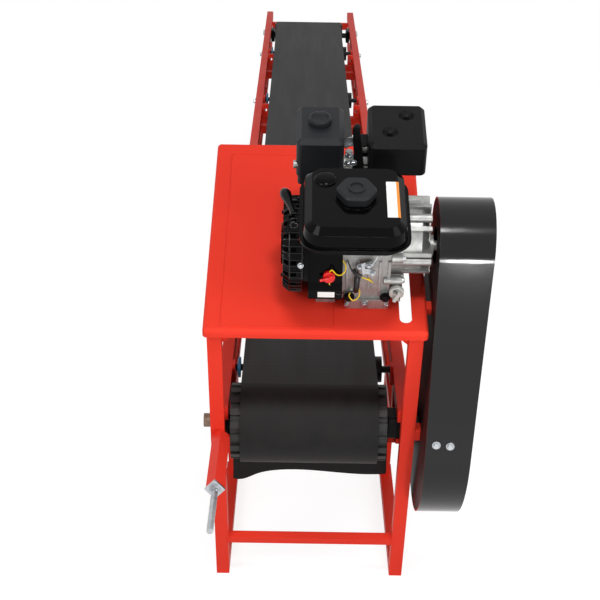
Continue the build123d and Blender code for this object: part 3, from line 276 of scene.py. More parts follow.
# %% Black sheet and black enamel
guard_coat, tree, place = start_finish("Powder coat, semi-gloss black")
ripple = add_node(tree, "ShaderNodeTexNoise", {"Scale": lumps(3), "Detail": 1.0}, {"Vector": place})
edge = add_node(tree, "ShaderNodeBevel", {"Radius": 1.2 * MM}, samples=4)
peel = add_node(tree, "ShaderNodeBump", {"Distance": 0.04 * MM},
                {"Height": ripple.outputs[0], "Normal": edge.outputs[0]})
end_finish(guard_coat,
           {"Base Color": paint_card("#070708"), "Roughness": 0.17, "IOR": 1.5, "Specular IOR Level": 0.16},
           {"Normal": peel.outputs[0]})

gloss_black, tree, place = start_finish("Enamel, deep gloss black")
wave = add_node(tree, "ShaderNodeTexNoise", {"Scale": lumps(30), "Detail": 1.0}, {"Vector": place})
edge = add_node(tree, "ShaderNodeBevel", {"Radius": 1.5 * MM}, samples=4)
level = add_node(tree, "ShaderNodeBump", {"Distance": 0.1 * MM},
                 {"Height": wave.outputs[0], "Normal": edge.outputs[0]})
end_finish(gloss_black,
           {"Base Color": paint_card("#040404"), "Roughness": 0.12, "IOR": 1.5, "Specular IOR Level": 0.07},
           {"Normal": level.outputs[0]})

bright_black, tree, place = start_finish("Enamel, polished black")
wave = add_node(tree, "ShaderNodeTexNoise", {"Scale": lumps(12), "Detail": 1.0}, {"Vector": place})
level = add_node(tree, "ShaderNodeBump", {"Distance": 0.1 * MM}, {"Height": wave.outputs[0]})
end_finish(bright_black,
           {"Base Color": paint_card("#070708"), "Roughness": 0.12, "IOR": 1.5, "Specular IOR Level": 0.35},
           {"Normal": level.outputs[0]})
print(guard_coat.name, gloss_black.name, bright_black.name, sep="; ")

# %% [markdown]
# ## Grained plastic and stove paint
# The air cleaner, cap and switch box are moulded with a fine spark grain, drawn at 0.9 mm. The
# muffler carries a dull, heat-proof paint, patchy where it has baked.

# %% Grained plastic and stove paint
grained_black, tree, place = start_finish("Nylon, moulded with spark grain")
spark = add_node(tree, "ShaderNodeTexNoise", {"Scale": lumps(0.9)}, {"Vector": place})
edge = add_node(tree, "ShaderNodeBevel", {"Radius": 1.5 * MM}, samples=4)
skin = add_node(tree, "ShaderNodeBump", {"Distance": 0.05 * MM},
                {"Height": spark.outputs[0], "Normal": edge.outputs[0]})
end_finish(grained_black,
           {"Base Color": paint_card("#18191C"), "IOR": 1.5, "Roughness": 0.48, "Specular IOR Level": 0.2},
           {"Normal": skin.outputs[0]})

stove_black, tree, place = start_finish("Stove paint, dull black")
baked = add_node(tree, "ShaderNodeTexNoise", {"Scale": lumps(12), "Detail": 4.0}, {"Vector": place})
tone = add_node(tree, "ShaderNodeMix", {6: paint_card("#070708"), 7: paint_card("#121213")},
                {0: baked.outputs[0]}, data_type="RGBA")
spray = add_node(tree, "ShaderNodeTexNoise", {"Scale": lumps(1.2), "Detail": 3.0}, {"Vector": place})
edge = add_node(tree, "ShaderNodeBevel", {"Radius": 1.5 * MM}, samples=4)
skin = add_node(tree, "ShaderNodeBump", {"Distance": 0.1 * MM},
                {"Height": spray.outputs[0], "Normal": edge.outputs[0]})
end_finish(stove_black, {"IOR": 1.5, "Roughness": 0.5, "Specular IOR Level": 0.1},
           {"Base Color": tone.outputs[2], "Normal": skin.outputs[0]})
print(grained_black.name, stove_black.name, sep="; ")

# %% [markdown]
# ## Cast aluminium and zinc plate
# The crankcase and covers are die-cast aluminium, grey and slightly sandy, with darker stains from
# the mould. Bolts, the take-up rod and the linkage are zinc plated and bright.

# %% Cast aluminium and zinc plate
cast_alloy, tree, place = start_finish("Aluminium, die cast")
stains = add_node(tree, "ShaderNodeTexNoise", {"Scale": lumps(9), "Detail": 5.0, "Roughness": 0.65},
                  {"Vector": place})
tone = add_node(tree, "ShaderNodeMix", {6: paint_card("#6E6E6C"), 7: paint_card("#C2C2BF")},
                {0: stains.outputs[0]}, data_type="RGBA")
sand = add_node(tree, "ShaderNodeTexNoise", {"Scale": lumps(1.3), "Detail": 3.0}, {"Vector": place})
edge = add_node(tree, "ShaderNodeBevel", {"Radius": 1.2 * MM}, samples=4)
skin = add_node(tree, "ShaderNodeBump", {"Distance": 0.18 * MM},
                {"Height": sand.outputs[0], "Normal": edge.outputs[0]})
end_finish(cast_alloy, {"Metallic": 0.8, "Roughness": 0.45},
           {"Base Color": tone.outputs[2], "Normal": skin.outputs[0]})

zinc_plate, tree, place = start_finish("Steel, zinc plated")
stains = add_node(tree, "ShaderNodeTexNoise", {"Scale": lumps(5), "Detail": 4.0}, {"Vector": place})
tone = add_node(tree, "ShaderNodeMix", {6: paint_card("#8E9296"), 7: paint_card("#D2D5D8")},
                {0: stains.outputs[0]}, data_type="RGBA")
edge = add_node(tree, "ShaderNodeBevel", {"Radius": 0.5 * MM}, samples=4)
skin = add_node(tree, "ShaderNodeBump", {"Distance": 0.05 * MM},
                {"Height": stains.outputs[0], "Normal": edge.outputs[0]})
end_finish(zinc_plate, {"Metallic": 1.0, "Roughness": 0.32},
           {"Base Color": tone.outputs[2], "Normal": skin.outputs[0]})
print(cast_alloy.name, zinc_plate.name, sep="; ")

# %% [markdown]
# ## Drum and bare steel
# The drum's ribs carry black lagging that wood dust has dulled. Shafts and cut ends are turned
# steel under a thin film of rust, brown in patches of a few millimetres.

# %% Drum and bare steel
drum_steel, tree, place = start_finish("Rubber lagging on a steel drum")
dull = add_node(tree, "ShaderNodeTexNoise", {"Scale": lumps(7), "Detail": 4.0}, {"Vector": place})
tone = add_node(tree, "ShaderNodeMix", {6: paint_card("#111111"), 7: paint_card("#2A2928")},
                {0: dull.outputs[0]}, data_type="RGBA")
edge = add_node(tree, "ShaderNodeBevel", {"Radius": 1.0 * MM}, samples=4)
skin = add_node(tree, "ShaderNodeBump", {"Distance": 0.12 * MM},
                {"Height": dull.outputs[0], "Normal": edge.outputs[0]})
end_finish(drum_steel, {"IOR": 1.52, "Roughness": 0.55, "Specular IOR Level": 0.3},
           {"Base Color": tone.outputs[2], "Normal": skin.outputs[0]})

bare_steel, tree, place = start_finish("Steel, turned and rust-filmed")
film = add_node(tree, "ShaderNodeTexNoise", {"Scale": lumps(4), "Detail": 5.0, "Roughness": 0.7},
                {"Vector": place})
tone = add_node(tree, "ShaderNodeMix", {6: paint_card("#4A2F20"), 7: paint_card("#A89786")},
                {0: film.outputs[0]}, data_type="RGBA")
skin = add_node(tree, "ShaderNodeBump", {"Distance": 0.1 * MM}, {"Height": film.outputs[0]})
end_finish(bare_steel, {"Metallic": 0.9, "Roughness": 0.45},
           {"Base Color": tone.outputs[2], "Normal": skin.outputs[0]})
print(drum_steel.name, bare_steel.name, sep="; ")

# %% [markdown]
# ## Red switch and tyre rubber
# The switch is a bright moulded ABS with a smooth skin. The tyres are a dull rubber with a grey
# mould bloom that comes and goes over some 25 mm.

# %% Red switch and tyre rubber
red_switch, tree, place = start_finish("ABS, moulded red")
flow = add_node(tree, "ShaderNodeTexNoise", {"Scale": lumps(4), "Detail": 1.0}, {"Vector": place})
edge = add_node(tree, "ShaderNodeBevel", {"Radius": 1.2 * MM}, samples=4)
skin = add_node(tree, "ShaderNodeBump", {"Distance": 0.03 * MM},
                {"Height": flow.outputs[0], "Normal": edge.outputs[0]})
end_finish(red_switch, {"Base Color": paint_card("#E3150F"), "Roughness": 0.25, "IOR": 1.5},
           {"Normal": skin.outputs[0]})

tyre_rubber, tree, place = start_finish("Tyre rubber")
bloom = add_node(tree, "ShaderNodeTexNoise", {"Scale": lumps(25), "Detail": 4.0}, {"Vector": place})
tone = add_node(tree, "ShaderNodeMix", {6: paint_card("#131315"), 7: paint_card("#29292B")},
                {0: bloom.outputs[0]}, data_type="RGBA")
edge = add_node(tree, "ShaderNodeBevel", {"Radius": 1.0 * MM}, samples=4)
skin = add_node(tree, "ShaderNodeBump", {"Distance": 0.12 * MM},
                {"Height": bloom.outputs[0], "Normal": edge.outputs[0]})
end_finish(tyre_rubber, {"Roughness": 0.72, "IOR": 1.52, "Specular IOR Level": 0.3},
           {"Base Color": tone.outputs[2], "Normal": skin.outputs[0]})
print(red_switch.name, tyre_rubber.name, sep="; ")

# %% [markdown]
# ## Smooth plastics in plain colours
# Wires run in PVC sleeves, the idlers' ends wear blue polyethylene caps, the labels are blank
# vinyl. All are smooth and differ in colour and gloss only, so one table makes them.

# %% Sleeves, caps and labels
PLAIN_PLASTICS = {
    "PVC sleeve, yellow": ("#F0C814", 0.3), "PVC sleeve, black": ("#0E0E0F", 0.35),
    "Blank vinyl label, white": ("#ECECE8", 0.35), "Blank vinyl label, orange": ("#F08A1E", 0.35),
    "Polyethylene cap, blue": ("#2C6A8C", 0.4), "Polyethylene knob, pale grey": ("#B9B8B2", 0.42),
}
plastics = {}
for name, (colour, roughness) in PLAIN_PLASTICS.items():
    plastic, tree, place = start_finish(name)
    wave = add_node(tree, "ShaderNodeTexNoise", {"Scale": lumps(6), "Detail": 2.0}, {"Vector": place})
    skin = add_node(tree, "ShaderNodeBump", {"Distance": 0.04 * MM}, {"Height": wave.outputs[0]})
    surface = {"Base Color": paint_card(colour), "Roughness": roughness, "IOR": 1.53,
               "Specular IOR Level": 0.4}
    plastics[name] = end_finish(plastic, surface, {"Normal": skin.outputs[0]})
print(len(plastics), "smooth plastics")

# %% [markdown]
# ## Finishes onto the CAD pieces
# The record names a slot for each piece, which says what it is made of. A table gives the finish
# for each slot, and a second, short one the few pieces that differ from their slot in the photograph.

# %% Paint the CAD
FINISH_OF_SLOT = {
    "red_paint": red_coat, "belt_rubber": belt_rubber,
    "black_sheet": guard_coat, "black_plastic": gloss_black,
    "matte_black": grained_black, "cast_aluminium": cast_alloy, "zinc": zinc_plate, "dark_steel": drum_steel,
    "cast_iron_black": stove_black, "red_plastic": red_switch, "tyre": tyre_rubber,
}
slots = {piece["node"]: piece["material_slot"] for piece in frame["record"]["subparts"]}
for name, piece in frame["nodes"].items():
    piece.data.materials.clear()
    piece.data.materials.append(FINISH_OF_SLOT[slots[name]])
FINISH_OF_PIECE = {"guard_inner": stove_black, "control_box": gloss_black, "guard_rim": bright_black}
for name, finish in FINISH_OF_PIECE.items():
    frame["nodes"][name].data.materials[0] = finish
print(len(slots), "pieces painted with", len(set(slots.values())), "finishes")

# %% [markdown]
# ## Places on the machine
# The deck slopes, so its fittings are placed in its own directions: x across from the frame's
# middle, t back along the deck from its front edge, h square up from it, all in millimetres. The
# deck's box gives the corner, and its pitch turns t and h into the row's Y and Z.

# %% Deck directions
DECK_PITCH = np.radians(20.4)
DECK_FOLD, FOLD_R = 20 * MM, 9 * MM
# The rounded fold stops this short of the corner
FOLD_SHORT = FOLD_R * (np.cos(DECK_PITCH) + np.sin(DECK_PITCH) - 1)
deck_low = np.array(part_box("deck_plate")[0])
middle_x = drum_axis().x
DECK_CORNER = np.array([middle_x, deck_low[1] - FOLD_SHORT, deck_low[2] + DECK_FOLD * np.cos(DECK_PITCH)])
ACROSS = np.array([1.0, 0.0, 0.0])
ALONG = np.array([0.0, np.cos(DECK_PITCH), np.sin(DECK_PITCH)])
UPRIGHT = np.array([0.0, -np.sin(DECK_PITCH), np.cos(DECK_PITCH)])
FORWARD = np.array([0.0, -1.0, 0.0])


def on_deck(places):
    """Rows of (x, t, h) in mm to points: corner + x across + t along + h upright."""
    x, t, h = np.moveaxis(np.asarray(places, float) * MM, -1, 0)
    return DECK_CORNER + x[..., None] * ACROSS + t[..., None] * ALONG + h[..., None] * UPRIGHT


print("deck corner", DECK_CORNER.round(3))

# %% [markdown]
# ## Surfaces from a grid
# Every added piece is made of grids of points: one direction goes round, the other along. One maker
# turns a list of grids into an object. Others make the grids, of a profile turned round an axis and
# of a round section carried along a path.

# %% Makers of meshes
def grid_faces(rows, columns, start, round_rows):
    """Quads between neighbours of a grid: each row is a closed ring, and round_rows closes the rows too."""
    i = np.arange(rows if round_rows else rows - 1)[:, None]
    j = np.arange(columns)[None, :]
    up, right = (i + 1) % rows, (j + 1) % columns
    quads = np.stack([i * columns + j, i * columns + right, up * columns + right, up * columns + j], -1)
    return (quads.reshape(-1, 4) + start).tolist()


def add_piece(name, grids, finish, body="root", smooth=True, round_rows=False):
    """One object from grids of points (rows, columns, 3), whose first and last rows are capped."""
    points, faces, start = [], [], 0
    for grid in grids:
        rows, columns = grid.shape[:2]
        points.append(grid.reshape(-1, 3))
        faces += grid_faces(rows, columns, start, round_rows)
        if not round_rows:
            faces.append(list(range(start, start + columns))[::-1])
            faces.append(list(range(start + (rows - 1) * columns, start + rows * columns)))
        start += rows * columns
    mesh = bpy.data.meshes.new(name)
    mesh.from_pydata(np.concatenate(points).tolist(), [], faces)
    mesh.polygons.foreach_set("use_smooth", [smooth] * len(faces))
    mesh.update()
    turn_outwards(mesh)
    piece = bpy.data.objects.new(name, mesh)
    bpy.context.scene.collection.objects.link(piece)
    mesh.materials.append(finish)
    if smooth:
        mesh.set_sharp_from_angle(angle=np.radians(40))
    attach(piece, body)
    return piece


def turn_outwards(mesh):
    """Faces are recalculated to point out of the closed form."""
    form = bmesh.new()
    form.from_mesh(mesh)
    bmesh.ops.recalc_face_normals(form, faces=form.faces)
    form.to_mesh(mesh)
    form.free()


def turned(profile, place, axis, sides):
    """A profile of (radius, height) rows turned round axis at place: p + h*axis + r*(cos a*u + sin a*v)."""
    axis = np.asarray(axis, float) / np.linalg.norm(axis)
    u = np.cross(axis, [0.0, 0.0, 1.0] if abs(axis[2]) < 0.9 else [1.0, 0.0, 0.0])
    u /= np.linalg.norm(u)
    v = np.cross(axis, u)
    a = np.arange(sides) * 2 * np.pi / sides
    ring = np.cos(a)[:, None] * u + np.sin(a)[:, None] * v
    r, h = (np.asarray(profile, float) * MM).T
    return np.asarray(place) + h[:, None, None] * axis + r[:, None, None] * ring[None]


def carried(path, radius, sides=12):
    """A round section carried along a path: point + radius*(cos a*u + sin a*v), u and v square to it."""
    path = np.asarray(path, float)
    tangent = np.gradient(path, axis=0)
    tangent /= np.linalg.norm(tangent, axis=1, keepdims=True)
    u = np.cross(tangent, [0.31, 0.52, 0.79])
    u /= np.linalg.norm(u, axis=1, keepdims=True)
    v = np.cross(tangent, u)
    a = np.arange(sides) * 2 * np.pi / sides
    ring = np.cos(a)[None, :, None] * u[:, None] + np.sin(a)[None, :, None] * v[:, None]
    return path[:, None] + radius * MM * ring


def smooth_path(knots, steps=12):
    """Catmull-Rom curve through the knots: each span blends its four nearest knots by cubic weights."""
    k = np.asarray(knots, float)
    k = np.concatenate([2 * k[:1] - k[1:2], k, 2 * k[-1:] - k[-2:-1]])
    s = np.linspace(0, 1, steps, endpoint=False)[:, None, None]
    a, b, c, d = k[:-3], k[1:-2], k[2:-1], k[3:]
    bend = (2 * a - 5 * b + 4 * c - d) * s ** 2 + (3 * b - a - 3 * c + d) * s ** 3
    spans = 0.5 * (2 * b + (c - a) * s + bend)
    return np.concatenate([np.moveaxis(spans, 0, 1).reshape(-1, 3), k[-2:-1]])


print("makers of meshes are ready")

# %% [markdown]
# ## Hexagon bolts
# Each bolt is a hexagon head with chamfered corners on a round washer, most of them zinc plated.
# Heads could be one copied object, but as grids in one mesh they stay one piece with their places
# in it. A table gives place, direction and width across corners for every bolt.

# %% Bolt maker
WASHER_THICK, WASHER_SUNK = 1.6, 0.5


def bolt_grids(place, axis, width):
    """Hexagon head and its washer as turned profiles: six sides for the head, twenty for the washer."""
    high = WASHER_THICK + width * 0.42
    head = [(width / 2, WASHER_THICK), (width / 2, high - width * 0.08), (width * 0.43, high)]
    washer = [(width * 0.68, -WASHER_SUNK), (width * 0.68, WASHER_THICK)]
    return turned(head, place, axis, 6), turned(washer, place, axis, 20)


def deck_bolts(table):
    """Rows for add_bolts from rows of (place on the deck in mm, direction, width)."""
    return [(on_deck(place), way, width) for place, way, width in table]


def add_bolts(name, table, finish):
    """Two pieces from rows of (place, axis, width): the heads with flat sides and the washers."""
    heads, washers = zip(*(bolt_grids(*row) for row in table))
    add_piece(name + "_heads", heads, finish, smooth=False)
    add_piece(name + "_washers", washers, finish)
    print(len(table), name)


# %% [markdown]
# ## Bolts on the engine
# The cover's bolts stand on its seven lugs, round a circle. The others are listed by their place.
# The two of the muffler are heat-stained and dark, and so are the two that hold the engine down.

# %% Engine bolts
COVER_T, COVER_H, COVER_BOLT_R = 163, 121, 82
COVER_BOLTS, COVER_BOLT_START = 7, 20
COVER_FACE_X = 172
turns = np.radians(COVER_BOLT_START + np.arange(COVER_BOLTS) * 360 / COVER_BOLTS)
bolt_t, bolt_h = COVER_T + COVER_BOLT_R * np.cos(turns), COVER_H + COVER_BOLT_R * np.sin(turns)
rows = [(on_deck((COVER_FACE_X, t, h)), ACROSS, 11) for t, h in zip(bolt_t, bolt_h)]
CASE_BOLTS = [((100, 70, 14), -ALONG, 13), ((173, 80, 72), ACROSS, 10), ((64, 72, 10), -ALONG, 9),
              ((144, 72, 10), -ALONG, 9), ((52, 80, 160), -ALONG, 9), ((138, 80, 152), -ALONG, 9)]
add_bolts("engine_bolts", rows + deck_bolts(CASE_BOLTS), zinc_plate)
DARK_BOLTS = [((179, 328, 294.5), UPRIGHT, 13), ((144, 271, 294.5), UPRIGHT, 13),
              ((67, 70, 35), -ALONG, 17), ((141, 70, 35), -ALONG, 17)]
add_bolts("engine_dark_bolts", deck_bolts(DARK_BOLTS), stove_black)

# %% [markdown]
# ## Labels
# Two blank vinyl labels, as on the real machine: a tall one with an orange band on the tank, and a
# small one on the switch box. Each is a thin grid that follows the surface under it.

# %% Labels
TANK_FLAT_H, TANK_FLAT_EDGE, TANK_SLOPE = 289, 154, 0.9
LABEL_THICK, SWITCH_BOX_T, SWITCH_LABEL_THICK = 0.6, 47.6, 0.8


def tank_label(x, t, lift):
    """A grid on the tank's top: h is the flat's height less the slope times how far x is past its edge."""
    x, t = np.meshgrid(x, t, indexing="ij")
    top = TANK_FLAT_H + lift - TANK_SLOPE * np.maximum(0, x - TANK_FLAT_EDGE)
    under = top - LABEL_THICK
    ring = [np.stack([x, t, top], -1), np.stack([x, t, under], -1)[:, ::-1]]
    return on_deck(np.concatenate(ring, 1))


LABEL_T = np.linspace(14, 123, 5)
add_piece("tank_label", [tank_label(np.array([131.0, 136, 142, 148, 150.5]), LABEL_T, 0.4)],
          plastics["Blank vinyl label, white"], smooth=False)
add_piece("tank_label_band", [tank_label(np.array([150.5, 154, 156]), LABEL_T, 0.45)],
          plastics["Blank vinyl label, orange"], smooth=False)
x, h = np.meshgrid([3.0, 37.0], [52.0, 66.0], indexing="ij")
label = np.stack([x, np.full_like(x, SWITCH_BOX_T), h], -1)
label_back = (label + [0, SWITCH_LABEL_THICK, 0])[:, ::-1]
add_piece("switch_box_label", [on_deck(np.concatenate([label, label_back], 1))],
          plastics["Blank vinyl label, white"], smooth=False)
print("two blank labels")

# %% [markdown]
# ## Boss on the tank and knob on the air cleaner
# A shallow round boss is pressed into the tank's left rear corner. The air cleaner is held by a
# round plastic knob with a thick rounded rim and a dished top. Both are turned profiles.

# %% Boss and knob
BOSS_PROFILE = [(24, -1), (23, 1.5), (21, 4), (17, 6), (10, 7), (0.01, 7.2)]
KNOB_PROFILE = [(23.6, -0.5), (23.6, 8), (22.5, 11), (19.5, 12.6), (17, 11.5), (15.5, 9), (12, 8),
                (0.01, 7.5)]
BOSS_PLACE, KNOB_PLACE = (14, 128, TANK_FLAT_H), (3, 294, 306)
add_piece("tank_boss", [turned(BOSS_PROFILE, on_deck(BOSS_PLACE), UPRIGHT, 40)], gloss_black)
add_piece("air_cleaner_knob", [turned(KNOB_PROFILE, on_deck(KNOB_PLACE), UPRIGHT, 40)], grained_black)
print("boss at", BOSS_PLACE, "and knob at", KNOB_PLACE)

# %% [markdown]
# ## Dipstick's knob
# The oil filler is closed by a moulded knob in pale plastic with a flat wing to turn it by. The CAD
# has its form in the cover's casting, so this skin lies a millimetre over it.

# %% Dipstick knob
DIPSTICK = (163, 64, 50)
EDGE_PROFILE = [(15.2, -8.2), (15.2, -0.5), (13.5, 0.8), (0.01, 0.8)]
WING_HALF, WING_LONG, WING_HEIGHTS = 3.4, 13, np.array([0.0, 11.5, 12.8])
wing = np.radians(65)
edge = turned(EDGE_PROFILE, on_deck(DIPSTICK), -ALONG, 28)
u, v = np.cos(wing) * ACROSS + np.sin(wing) * UPRIGHT, -np.sin(wing) * ACROSS + np.cos(wing) * UPRIGHT
corners = np.array([(-1, -1), (1, -1), (1, 1), (-1, 1)]) * [WING_HALF, WING_LONG] * MM
wing_ring = corners[:, :1] * v + corners[:, 1:] * u
wing_grid = on_deck(DIPSTICK) + wing_ring[None] - ALONG * (WING_HEIGHTS * MM)[:, None, None]
add_piece("dipstick_knob", [edge], plastics["Polyethylene knob, pale grey"])
add_piece("dipstick_wing", [wing_grid], plastics["Polyethylene knob, pale grey"], smooth=False)
print("dipstick's knob at", DIPSTICK)

# %% [markdown]
# ## Wires
# The switch's wires are single strands 2.4 to 3.2 mm thick in PVC sleeves. The spark lead and the
# sleeve and joint of the cable are thicker. Each is held at both ends, and is a smooth curve
# through a few chosen places, with a round section carried along it.

# %% Wires
WIRES = {
    "switch_wire": ("PVC sleeve, yellow", 1.4,
        [(25, 62, 104), (27, 55, 115), (31, 53, 120), (40, 55, 107), (50, 60, 102), (58, 66, 110),
         (57, 70, 121), (51, 76, 128)]),
    "switch_wire_low": ("PVC sleeve, yellow", 1.4,
        [(26, 57, 84), (27, 54, 77), (31, 50, 68), (33, 51, 64)]),
    "sensor_wire": ("PVC sleeve, yellow", 1.4,
        [(84, 66, 93), (92, 63, 93), (104, 62, 88), (113, 64, 80), (112, 68, 77), (105, 76, 80)]),
    "sensor_wire_loop": ("PVC sleeve, yellow", 1.2,
        [(70, 62, 56), (67, 58, 47), (75, 56, 37), (86, 58, 44), (88, 62, 56), (83, 68, 64)]),
    "ground_wire": ("PVC sleeve, black", 1.5,
        [(33, 51, 64), (45, 48, 60), (58, 54, 61), (71, 60, 57), (80, 64, 60)]),
    "switch_lead": ("PVC sleeve, black", 1.6,
        [(62, 70, 130), (68, 62, 118), (76, 60, 104), (81, 62, 92)]),
    "cable_sleeve": ("PVC sleeve, black", 6.0,
        [(82, 66, 92), (81.5, 62, 82), (81, 61, 70), (80, 64, 56)]),
    "cable_joint": ("PVC sleeve, black", 4.5,
        [(72, 70, 108), (80, 64, 101), (90, 62, 96)]),
    "spark_lead": ("PVC sleeve, black", 3.4,
        [(34, 252, 190), (44, 270, 196), (58, 310, 176), (76, 350, 152), (80, 372, 146)]),
}
for name, (sleeve, radius, knots) in WIRES.items():
    add_piece(name, [carried(smooth_path(on_deck(knots)), radius)], plastics[sleeve])
print(len(WIRES), "wires")

# %% [markdown]
# ## Governor linkage
# Behind the wires a bent zinc-plated rod and two small levers join the governor to the throttle.
# Each lever is a flat plate with round ends, so its edge is a half circle round each of its holes.

# %% Linkage
def strap_grid(first, second, radius, thick, face):
    """A plate with round ends: half circles about both ends make a ring, as two layers thick apart."""
    first, second, face = on_deck(first), on_deck(second), np.asarray(face)
    run = (second - first) / np.linalg.norm(second - first)
    side = np.cross(face, run)
    a = np.linspace(-np.pi / 2, np.pi / 2, 9)
    out = radius * MM * (np.cos(a)[:, None] * run + np.sin(a)[:, None] * side)
    back = radius * MM * (-np.cos(a)[:, None] * run - np.sin(a)[:, None] * side)
    ring = np.concatenate([second + out, first + back])
    return np.stack([ring, ring + face * thick * MM])


straps = [strap_grid((86, 72, 116), (108, 72, 122), 6, 3, -ALONG),
          strap_grid((100, 68, 108), (112, 68, 104), 6.5, 3, -ALONG),
          strap_grid((92, 66, 126), (95, 66, 104), 3.5, 2.5, -ALONG)]
add_piece("governor_levers", straps, zinc_plate, smooth=False)
GOVERNOR_BOLTS = [((104, 68, 121), -ALONG, 9), ((112, 65, 104), -ALONG, 10), ((86, 69, 116), -ALONG, 8)]
add_bolts("governor_bolts", deck_bolts(GOVERNOR_BOLTS), zinc_plate)
ROD_KNOTS = [(108, 66, 122), (118, 70, 136), (122, 78, 150), (120, 84, 160)]
add_piece("governor_rod", [carried(smooth_path(on_deck(ROD_KNOTS)), 1.3)], zinc_plate)

# %% [markdown]
# ## Choke lever, quadrant and intake
# Between air cleaner and muffler stand the choke's black lever, its pressed quadrant, a grey pipe
# and a few nuts. The lever's skin lies over the plate in the CAD and tapers to its tip.

# %% Choke lever and its neighbours
LEVER_T, LEVER_MIDDLE_X, LEVER_SKIN = 262, 80, 0.8
x = np.array([71.0, 93.0, 93.0, 80.5, 73.5, 68.5, 73.0])
h = np.array([190.0, 190, 226, 322.5, 322.5, 312, 250])
rim = np.stack([x + np.sign(x - LEVER_MIDDLE_X) * LEVER_SKIN, np.full_like(x, LEVER_T), h], -1)
add_piece("choke_lever", [on_deck(np.stack([rim + [0, 1, 0], rim - [0, 5, 0]]))], stove_black, smooth=False)
TIP_PROFILE = [(5.5, -6), (7, -3), (7, 3), (5.5, 6)]
add_piece("choke_tip", [turned(TIP_PROFILE, on_deck((77, 260, 318)), ALONG, 20)], stove_black)
QUADRANT_X, QUADRANT_T = 68, 276
a = np.linspace(np.radians(20), np.radians(150), 14)
arc = np.stack([QUADRANT_X + 26 * np.cos(a), 0 * a + QUADRANT_T, 250 + 32 * np.sin(a)], -1)
inner = np.stack([QUADRANT_X + 12 * np.cos(a), 0 * a + QUADRANT_T, 246 + 14 * np.sin(a)], -1)[::-1]
quadrant = np.concatenate([arc, inner])
add_piece("choke_quadrant", [on_deck(np.stack([quadrant, quadrant + [0, 2.5, 0]]))], zinc_plate, smooth=False)
PIPE_PROFILE = [(10, -14), (11, -12), (11, 12), (10, 14)]
add_piece("intake_pipe", [turned(PIPE_PROFILE, on_deck((96, 288, 248)), ACROSS, 24)], cast_alloy)
INTAKE_NUTS = [((64, 262, 248), UPRIGHT, 12), ((72, 254, 236), -ALONG, 11), ((62, 256, 232), -ALONG, 10)]
add_bolts("intake_nuts", deck_bolts(INTAKE_NUTS), zinc_plate)

# %% [markdown]
# ## Cord's eye, ribs and screws of the starter
# The starter's cord leaves its cover through an eye, a ring of round section. Thin polished ribs
# and two hoops edge the cover's louvres, and screws hold it.

# %% Starter's small parts
def ring_grid(place, axis, radius, section, sides=28, around=10):
    """A torus: p + (R + r cos b)*(cos a*u + sin a*v) + r sin b*axis, closed both ways."""
    b = np.arange(around) * 2 * np.pi / around
    return turned(np.stack([radius + section * np.cos(b), section * np.sin(b)], -1), place, axis, sides)


RECOIL_T, RECOIL_H, RECOIL_FACE_X = 150, 106, -67
COVER_R, SCREW_CIRCLE_R, RIBS = 97.3, 66, 44
RIB_PROFILE = [(RECOIL_FACE_X, COVER_R - 30), (RECOIL_FACE_X - 0.2, COVER_R - 11), (-55, COVER_R),
               (-44, COVER_R), (-30, COVER_R)]
HOOP_XS, FRONT_SCREW = (-54, -29), (-32.18, 55.69, 128.94)


def on_cover(x, r, a):
    """A point of the cover: x across, r from its axis, at the angle a that goes from back to up."""
    return on_deck((x, RECOIL_T + r * np.cos(a), RECOIL_H + r * np.sin(a)))


eyes = [ring_grid(on_deck((-46, 92, 203)), -ALONG, 7, 2.4),
        ring_grid(on_deck((-46, 99, 206)), -ALONG, 7.5, 2)]
add_piece("cord_eye", eyes, bright_black, round_rows=True)
turns = np.radians([35, 125, 215, 305])
rows = [(on_cover(RECOIL_FACE_X, SCREW_CIRCLE_R, a), -ACROSS, 8) for a in turns]
add_bolts("starter_screws", rows, stove_black)
add_bolts("starter_front_screw", deck_bolts([(FRONT_SCREW, FORWARD, 9)]), zinc_plate)
turns = (np.arange(RIBS) + 0.5) * 2 * np.pi / RIBS
ribs = [carried([on_cover(x, r, a) for x, r in RIB_PROFILE], 1.3, sides=6) for a in turns]
add_piece("starter_ribs", ribs, bright_black)
hoops = [ring_grid(on_deck((x, RECOIL_T, RECOIL_H)), ACROSS, COVER_R, 1.6, sides=96, around=8)
         for x in HOOP_XS]
add_piece("starter_hoops", hoops, bright_black, round_rows=True)
print(RIBS, "ribs")

# %% [markdown]
# ## Starter's grip, switch pointer and fuel tap
# The grip is a moulded pear shape, turned about the line from its neck to its head, and takes the
# place of the plain rod in the CAD. The switch's pointer is a short round bar from its knob.

# %% Grip, pointer and tap
GRIP_NECK, GRIP_HEAD = on_deck((-47, 106, 219)), on_deck((-68, 186, 216))
GRIP_PROFILE = [(4, 0), (6, 1), (6.4, 5), (6, 16), (6.6, 32), (8.6, 46), (10.8, 58), (11.6, 66), (10.6, 74),
                (7.5, 80), (3, 82.5)]
pear = add_piece("pear_shaped_grip", [turned(GRIP_PROFILE, GRIP_NECK, GRIP_HEAD - GRIP_NECK, 28)], guard_coat)
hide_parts("recoil_grip")
POINTER = 18 * MM * -ACROSS - 6 * MM * UPRIGHT
low, high = (np.array(corner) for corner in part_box("switch_knob"))
knob_front = np.array([(low[0] + high[0]) / 2, low[1] + 2 * MM, (low[2] + high[2]) / 2])
pointer_path = [knob_front, knob_front + POINTER / 2, knob_front + POINTER]
add_piece("switch_pointer", [carried(pointer_path, 3)], red_switch)
TAP_PROFILE = [(7, -8), (7, 0), (8.5, 0.5), (8.5, 5), (6.5, 6)]
add_piece("fuel_tap", [turned(TAP_PROFILE, on_deck((-44, 238, 241)), -ACROSS, 20)], cast_alloy)
print("grip, pointer and tap")

